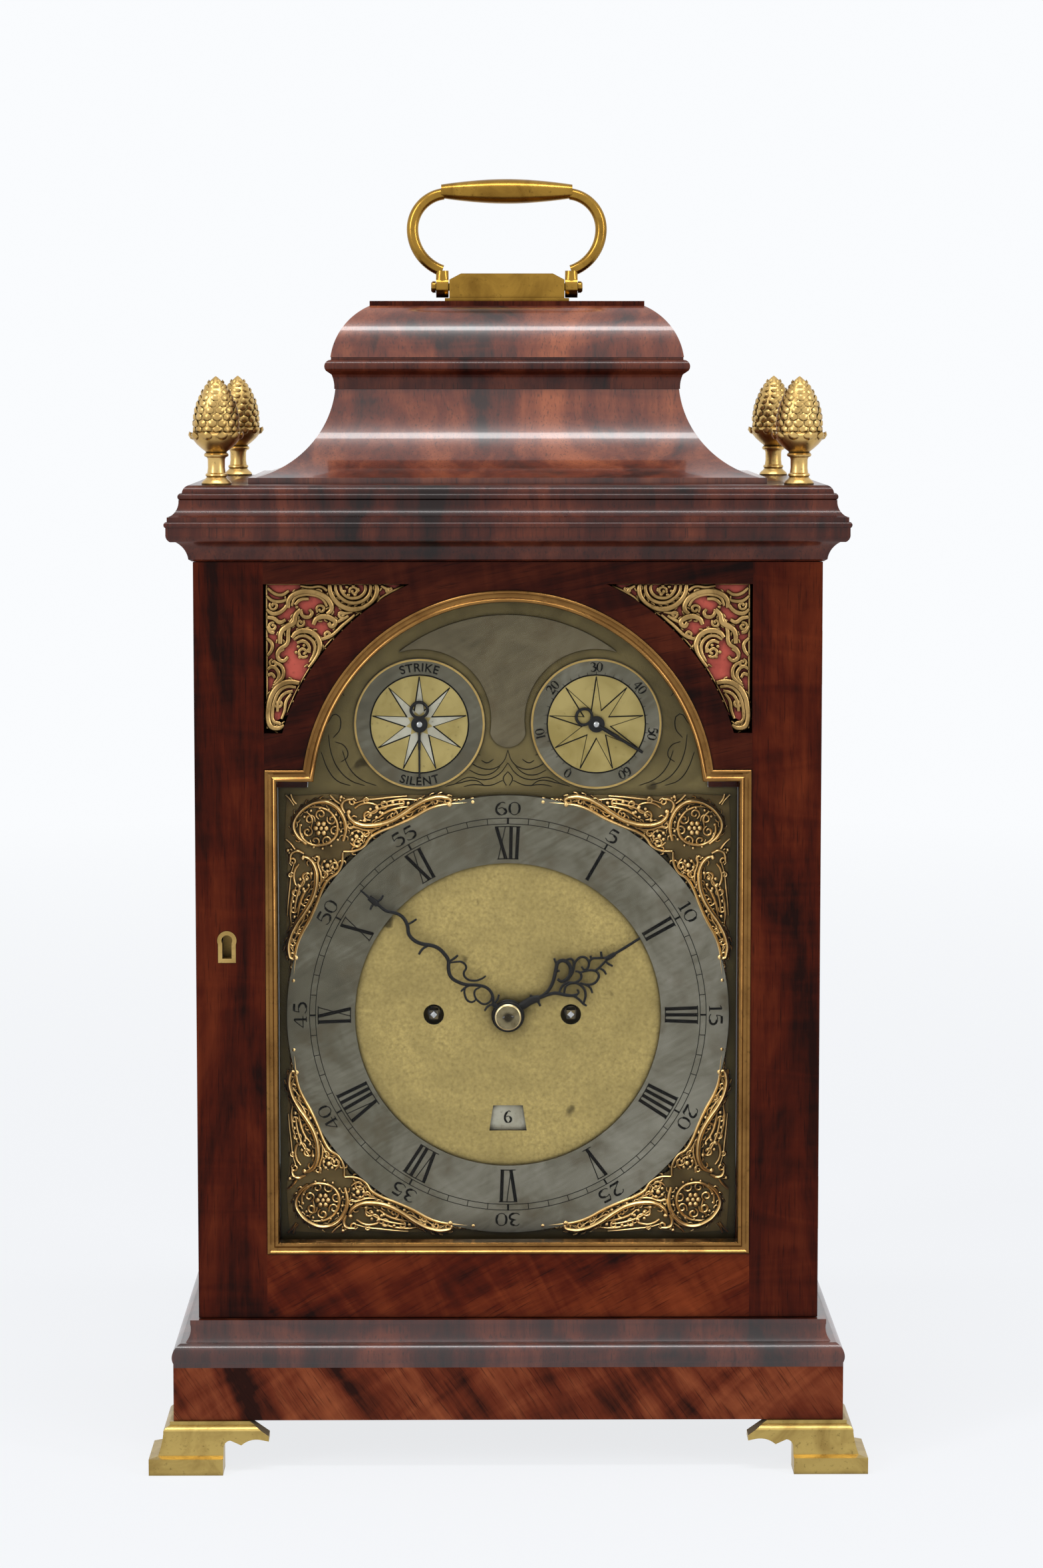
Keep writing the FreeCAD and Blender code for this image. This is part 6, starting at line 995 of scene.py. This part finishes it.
def make_spandrels(gilt, dark):
    """Four cast corner pieces: a wreath of flowers with a long scroll along each side, each laid on a dark plate of
    painted shade.
    """
    strokes, spots = [], []
    sprays = leaves(SPANDREL_HALF[0][1], 1.9, 3.1) + leaves(SPANDREL_HALF[1][1], 1.5, 3.4)
    for half, points in SPANDREL_HALF + sprays:
        strokes += [(half * 1.15, points), (half * 1.15, [(v, u) for u, v in points])]
    strokes += WREATH + leaves(WREATH[0][1], 1.7, 2.7)
    for number, (u, v, size) in enumerate(CURLS_HALF):
        half, points = curl(u, v, size, 70.0 * number, 0.62, 1 if number % 2 else -1)
        strokes += [(half, points), (half, [(v, u) for u, v in points])]
    for step in range(7):
        angle = math.radians(step * 360.0 / 7 + 12.0)
        strokes.append(curl(16.2 + 5.4 * math.cos(angle), 15.4 + 5.4 * math.sin(angle), 2.1, 95.0 * step, 0.6,
                            1 if step % 2 else -1))
    for count, out, size, turn in ((6, 2.0, 1.15, 0.0), (14, 7.9, 0.6, 9.0)):
        for step in range(count):
            angle = math.radians(step * 360.0 / count + turn)
            spots.append((size, 16.2 + out * math.cos(angle), 15.4 + out * math.sin(angle)))
    halves = [(1.2, 66.0, 6.2), (0.95, 75.0, 5.2), (1.0, 27.0, 9.0), (1.1, 29.9, 18.6), (0.9, 38.0, 7.6),
              (0.8, 44.0, 5.2), (0.8, 50.0, 5.6), (0.8, 40.0, 9.6), (0.8, 33.0, 12.4), (0.8, 56.0, 5.4),
              (0.8, 36.0, 18.4), (0.8, 42.0, 14.0), (0.8, 48.0, 11.4), (0.8, 24.0, 3.2)]
    for u, v in ((30.0, 18.6), (37.0, 9.2)):
        for step in range(5):
            angle = math.radians(72.0 * step)
            halves.append((0.75, u + 2.1 * math.cos(angle), v + 2.1 * math.sin(angle)))
    spots += [(1.1, 16.2, 15.4)] + halves + [(size, v, u) for size, u, v in halves]
    outline = SHADE_GROUND_HALF + [(v, u) for u, v in SHADE_GROUND_HALF[:0:-1]]
    for right in (-1, 1):
        for high in (-1, 1):
            place = corner_place(right, high)
            name = "_%s_%s" % ("low" if high < 0 else "high", "left" if right < 0 else "right")
            piece = joined([wires(strokes, place, PLATE_FACE - 0.5, 1.6, 2, 4, 0.45),
                            beads(spots, place, PLATE_FACE - 0.9, 1.1)])
            settle(piece, "spandrel" + name, gilt, "case", "gilt_brass", "spandrels")
            # Painted shade: a dark plate behind each casting stands for the shaded dial plate seen between its scrolls.
            ground = plaque([place(*spot) for spot in outline], PLATE_FACE, 0.35)
            settle(ground, "spandrel_shade_ground" + name, dark, "case", "gilt_brass", "spandrels")


def corner_place(right, high):
    def place(u, v):
        return right * (88.6 - u), DIAL[1] + high * (88.6 - v)
    return place


# ---------------------------------------------------------------- hands

def make_hands(blued, bright, steel):
    """Pierced and filed steel hands, each on its boss, with a domed brass collet over them."""
    for name, strokes, boss, body in (("hour_hand", HOUR_STROKES, 6.4, "hour_work"),
                                      ("minute_hand", MINUTE_STROKES, 6.0, "minute_work")):
        low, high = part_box(name)
        front, back = low[1] / MM, high[1] / MM
        bolder = [(half * 1.22, points) for half, points in strokes]
        filed = wires(bolder, on_dial, (front + back) / 2, 0.62, 2, 4, 0.6)
        disc = turned([(boss, 0.0), (boss, (back - front) * 0.7), (boss - 0.4, back - front)],
                      (DIAL[0], back, DIAL[1]), (0, -1, 0), 40)
        settle(joined([filed, disc]), "filed_" + name, blued, body, "blued_steel", name)
    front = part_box("minute_hand")[0][1] / MM
    dome = turned([(5.1, 0.0), (5.15, 0.35), (4.8, 0.75), (3.6, 1.15), (2.0, 1.35), (0.2, 1.42)],
                  (DIAL[0], front - 0.02, DIAL[1]), (0, -1, 0), 48)
    settle(dome, "collet_dome", bright, BODY_OF["centre_arbor"], "gilt_brass")
    pin = turned([(0.3, 0.0), (0.5, 0.3), (0.55, 3.6), (0.45, 4.4)], (DIAL[0] - 2.2, front - 1.45, DIAL[1] + 0.1),
                 (1, 0, 0.06), 16)
    settle(pin, "collet_pin", steel, BODY_OF["centre_arbor"], "steel")
    for name, middle, turn, body, half in (("strike_hand", SUBS[0], 180.0, "strike_pointer", 0.55),
                                           ("regulation_hand", SUBS[1], 121.5, "regulation_pointer", 0.85)):
        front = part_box(name)[0][1] / MM
        place = round_a_ring(middle, 0.0)
        loop = [place(turn + 180.0 + side, out)
                for side, out in ((0, 2.4), (-34, 4.6), (-26, 7.0), (0, 8.6), (26, 7.0), (34, 4.6), (0, 2.4))]
        strokes = [(half, [place(turn, 1.0), place(turn, 10.0)]), (0.6, loop),
                   (half * 0.72, [place(turn, 8.0), place(turn, 14.0), place(turn, 21.0)])]
        filed = wires(strokes, straight, front + 0.5, 0.7, 2, 4, 0.7)
        disc = turned([(1.0, 0.0), (1.0, 0.75), (3.2, 0.8), (3.2, 1.25), (2.6, 1.5)],
                      (middle[0], front + 1.6, middle[1]), (0, -1, 0), 32)
        settle(joined([filed, disc]), "filed_" + name, blued, body, "blued_steel", name)
        tip = turned([(1.1, 0.0), (1.1, 0.25), (0.8, 0.5), (0.2, 0.6)], (middle[0], front + 0.1, middle[1]),
                     (0, -1, 0), 20)
        settle(tip, name + "_tip", steel, body, "steel")


def make_winding_squares(steel):
    """The bright end of each winding square, seen down its hole."""
    for node in ("going_fusee", "strike_fusee"):
        low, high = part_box(node)
        middle = (low[0] + high[0]) / 2 / MM
        tip = turned([(1.35, 0.0), (1.35, 0.2), (0.9, 0.35), (0.3, 0.4)],
                     (middle, low[1] / MM + 0.15, (low[2] + high[2]) / 2 / MM), (0, -1, 0), 4)
        settle(tip, node + "_square", steel, BODY_OF[node], "steel")


# ---------------------------------------------------------------- the door

FRAME_HALF, FRAME_LOW, FRAME_SHOULDER, ARCH_RADIUS = 93.4, 82.4, 271.2, 79.4
BEZEL_STEPS = ((0.25, 0.75), (0.35, 0.25), (0.55, 0.0), (0.45, -0.45), (0.6, -0.3), (0.6, 0.05), (0.45, 0.35),
               (0.35, 0.35), (0.45, 0.15), (0.35, -0.15), (0.3, -0.5))


def frame_outline():
    """The arched opening of the door, clockwise from the foot of its left side."""
    spring = math.degrees(math.acos((FRAME_SHOULDER - ARCH_MIDDLE) / ARCH_RADIUS))
    place = round_a_ring((0.0, ARCH_MIDDLE), ARCH_RADIUS)
    crown = [place(-spring + 2 * spring * step / 60.0, 0.0) for step in range(61)]
    return ([(-FRAME_HALF, FRAME_LOW), (-FRAME_HALF, FRAME_SHOULDER)] + crown
            + [(FRAME_HALF, FRAME_SHOULDER), (FRAME_HALF, FRAME_LOW)])


def make_bezel(frame_brass):
    """The brass lining of the door's opening: a bead, a hollow and a fillet, mitred at the corners."""
    low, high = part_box("door_bezel")
    face_level, inner_level = -78.0, -71.9
    face = outline_face(frame_outline(), face_level)
    bpy.ops.mesh.select_all(action="SELECT")
    mesh = bmesh.from_edit_mesh(face.data)
    if mesh.faces[:][0].normal.y > 0:
        bpy.ops.mesh.flip_normals()
    for inset, rise in BEZEL_STEPS:
        bpy.ops.mesh.inset(thickness=inset * MM, depth=rise * MM, use_boundary=True, use_even_offset=True)
    bpy.ops.mesh.delete(type="FACE")
    bpy.ops.mesh.select_all(action="DESELECT")
    bpy.ops.mesh.select_mode(type="EDGE")
    bpy.ops.mesh.select_non_manifold(extend=False)
    bpy.ops.mesh.extrude_edges_move()
    mesh = bmesh.from_edit_mesh(face.data)
    for vert in mesh.verts:
        if vert.select:
            vert.co.y = inner_level * MM
    bmesh.update_edit_mesh(face.data)
    bpy.ops.mesh.bridge_edge_loops()
    bpy.ops.mesh.select_all(action="SELECT")
    bpy.ops.mesh.normals_make_consistent(inside=False)
    piece = done()
    bpy.ops.object.shade_smooth_by_angle(angle=math.radians(28))
    settle(piece, "moulded_bezel", frame_brass, "front_door", "gilt_brass", "door_bezel")


def make_frets(gilt, silk):
    """Pierced frets in the upper corners of the door, with red silk behind them."""
    for side in (-1, 1):
        def place(u, v, side=side):
            return side * (92.8 - u), 342.9 - v
        low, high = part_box("door_frets")
        level = (low[1] + high[1]) / 2 / MM
        strokes = [(half * 1.75, points) for half, points in FRET_STROKES]
        strokes += [curl(u, v, size, 80.0 * size * v, 0.75, 1 if u > 12.0 else -1)
                    for u, v, size in ((34.0, 3.4, 1.9), (14.6, 26.8, 2.2), (3.4, 9.0, 1.8), (3.0, 17.0, 1.8),
                                       (21.4, 10.4, 1.9), (13.4, 15.6, 1.7), (47.2, 3.0, 1.3), (3.2, 31.0, 1.7),
                                       (5.0, 46.4, 1.7), (20.6, 4.0, 1.5), (29.4, 12.4, 1.5), (24.0, 20.0, 1.4))]
        for half, points in FRET_STROKES:
            if half > 0.7:
                strokes += leaves(points, 1.5, 3.0, 0.9, 0.5)
        filed = wires(strokes + fret_border(), place, level, 0.9, 2, 4, 0.6)
        dots = beads([(0.85, 33.0 + 2.6 * math.cos(step), 3.2 + 1.9 * math.sin(step)) for step in range(7)]
                     + [(0.8, 14.2 + 2.4 * math.cos(step), 26.5 + 2.4 * math.sin(step)) for step in range(7)]
                     + [(0.9, 25.2, 10.3), (0.8, 12.2, 9.6), (0.8, 5.6, 54.3), (0.8, 1.6, 35.2)]
                     + [(0.62, *fret_edge(step / 14.0)) for step in range(1, 14)], place, level, 0.9)
        settle(joined([filed, dots]), "door_fret_" + ("left" if side < 0 else "right"), gilt, "front_door",
               "gilt_brass", "door_frets")
        cut = [(0.4, 0.4), (50.5, 0.4)] + [fret_edge(1.0 - step / 12.0, -0.5) for step in range(13)] + [(0.4, 55.0)]
        cloth = plaque([place(*spot) for spot in cut], high[1] / MM + 0.52, 0.5)
        settle(cloth, "silk_" + ("left" if side < 0 else "right"), silk, "front_door", "silk", "door_silk")


def fret_edge(share, out=0.0):
    """A point along the fret's curved edge, from its foot to its tip, in the fret's own mm."""
    low, high = math.radians(-69.0), math.radians(-26.5)
    angle = low + (high - low) * share
    radius = 89.8 + out
    return 92.8 + radius * math.sin(angle), 342.9 - 260.6 - radius * math.cos(angle)


def fret_border():
    edge = [fret_edge(step / 16.0, 0.7) for step in range(17)]
    return [(0.5, edge), (0.55, [(0.6, 0.6), (0.6, 28.0), (0.6, 56.0)]), (0.55, [(0.6, 0.6), (26.0, 0.6), (51.5, 0.6)])]


# ---------------------------------------------------------------- finials

def make_finials(gilt):
    """Pineapple finials: a scaled cone in a cup of curled leaves on a turned stem."""
    low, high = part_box("finials")
    base = low[2] / MM
    stem = turned([(5.65, 0.0), (5.75, 0.6), (5.4, 1.3), (4.3, 2.2), (3.7, 3.0), (4.2, 3.5), (4.1, 4.1), (3.5, 4.5),
                   (3.25, 6.5), (3.3, 9.6), (3.6, 10.4), (4.5, 10.8), (4.75, 11.4), (4.4, 12.0), (3.9, 12.3), (4.3, 12.8),
                   (5.4, 13.6), (7.4, 15.4), (9.0, 17.4), (9.7, 19.0), (9.2, 19.6), (8.2, 20.4), (8.3, 23.0), (8.1, 26.0),
                   (7.5, 29.5), (6.4, 33.0), (4.8, 36.2), (2.9, 38.8), (1.2, 40.4), (0.2, 41.2)], (0.0, 0.0, 0.0))
    cone = [(8.3, 21.0), (8.4, 23.4), (8.2, 25.8), (7.8, 28.2), (7.1, 30.5), (6.2, 32.7), (5.1, 34.8), (3.9, 36.7), (2.6, 38.4)]
    bpy.ops.mesh.primitive_ico_sphere_add(subdivisions=1, radius=MM)
    scale = bpy.context.object
    scales = []
    for row, (radius, up) in enumerate(cone):
        count = max(6, round(radius * 1.55))
        for step in range(count):
            angle = 2 * math.pi * (step + 0.5 * (row % 2)) / count
            one = scale.copy()
            one.data = scale.data.copy()
            bpy.context.collection.objects.link(one)
            one.location = Vector((radius * math.cos(angle), radius * math.sin(angle), up)) * MM
            one.rotation_euler = (0.0, 0.0, angle)
            one.scale = (0.75, 3.0 * radius / count, 1.6)
            scales.append(one)
    for step in range(10):
        angle = 2 * math.pi * step / 10
        one = scale.copy()
        one.data = scale.data.copy()
        bpy.context.collection.objects.link(one)
        one.location = Vector((9.4 * math.cos(angle), 9.4 * math.sin(angle), 18.6)) * MM
        one.rotation_euler = (0.0, 0.5, angle)
        one.scale = (1.1, 2.4, 1.9)
        scales.append(one)
    bpy.data.objects.remove(scale)
    pick(*scales)
    bpy.ops.object.transform_apply(location=True, rotation=True, scale=True)
    pattern = joined([joined(scales), stem])
    bpy.ops.object.shade_smooth_by_angle(angle=math.radians(60))
    number = 0
    for across in (-111.3, 111.3):
        for deep in (-69.3, 69.3):
            finial = pattern.copy()
            finial.data = pattern.data.copy()
            bpy.context.collection.objects.link(finial)
            finial.location = Vector((across, deep, base)) * MM
            settle(finial, "pineapple_%d" % number, gilt, "case", "gilt_brass", "finials")
            number += 1
    bpy.data.objects.remove(pattern)


bpy.context.scene.view_settings.view_transform = "Standard"
set_camera()
set_light()
set_floor()
dress_case()
paint = dress_metal()
make_chapters(paint["wax"])
make_date_numbers(paint["wax"])
make_engraving(paint["wax"])
make_subsidiary_marks(paint["wax"], paint["pale"], paint["star"], paint["plain"])
make_spandrels(paint["cast"], paint["dark"])
make_hands(paint["blued"], paint["collet"], paint["steel"])
make_winding_squares(paint["steel"])
make_frets(paint["fret"], paint["silk"])
make_bezel(paint["frame"])
make_finials(paint["cone"])
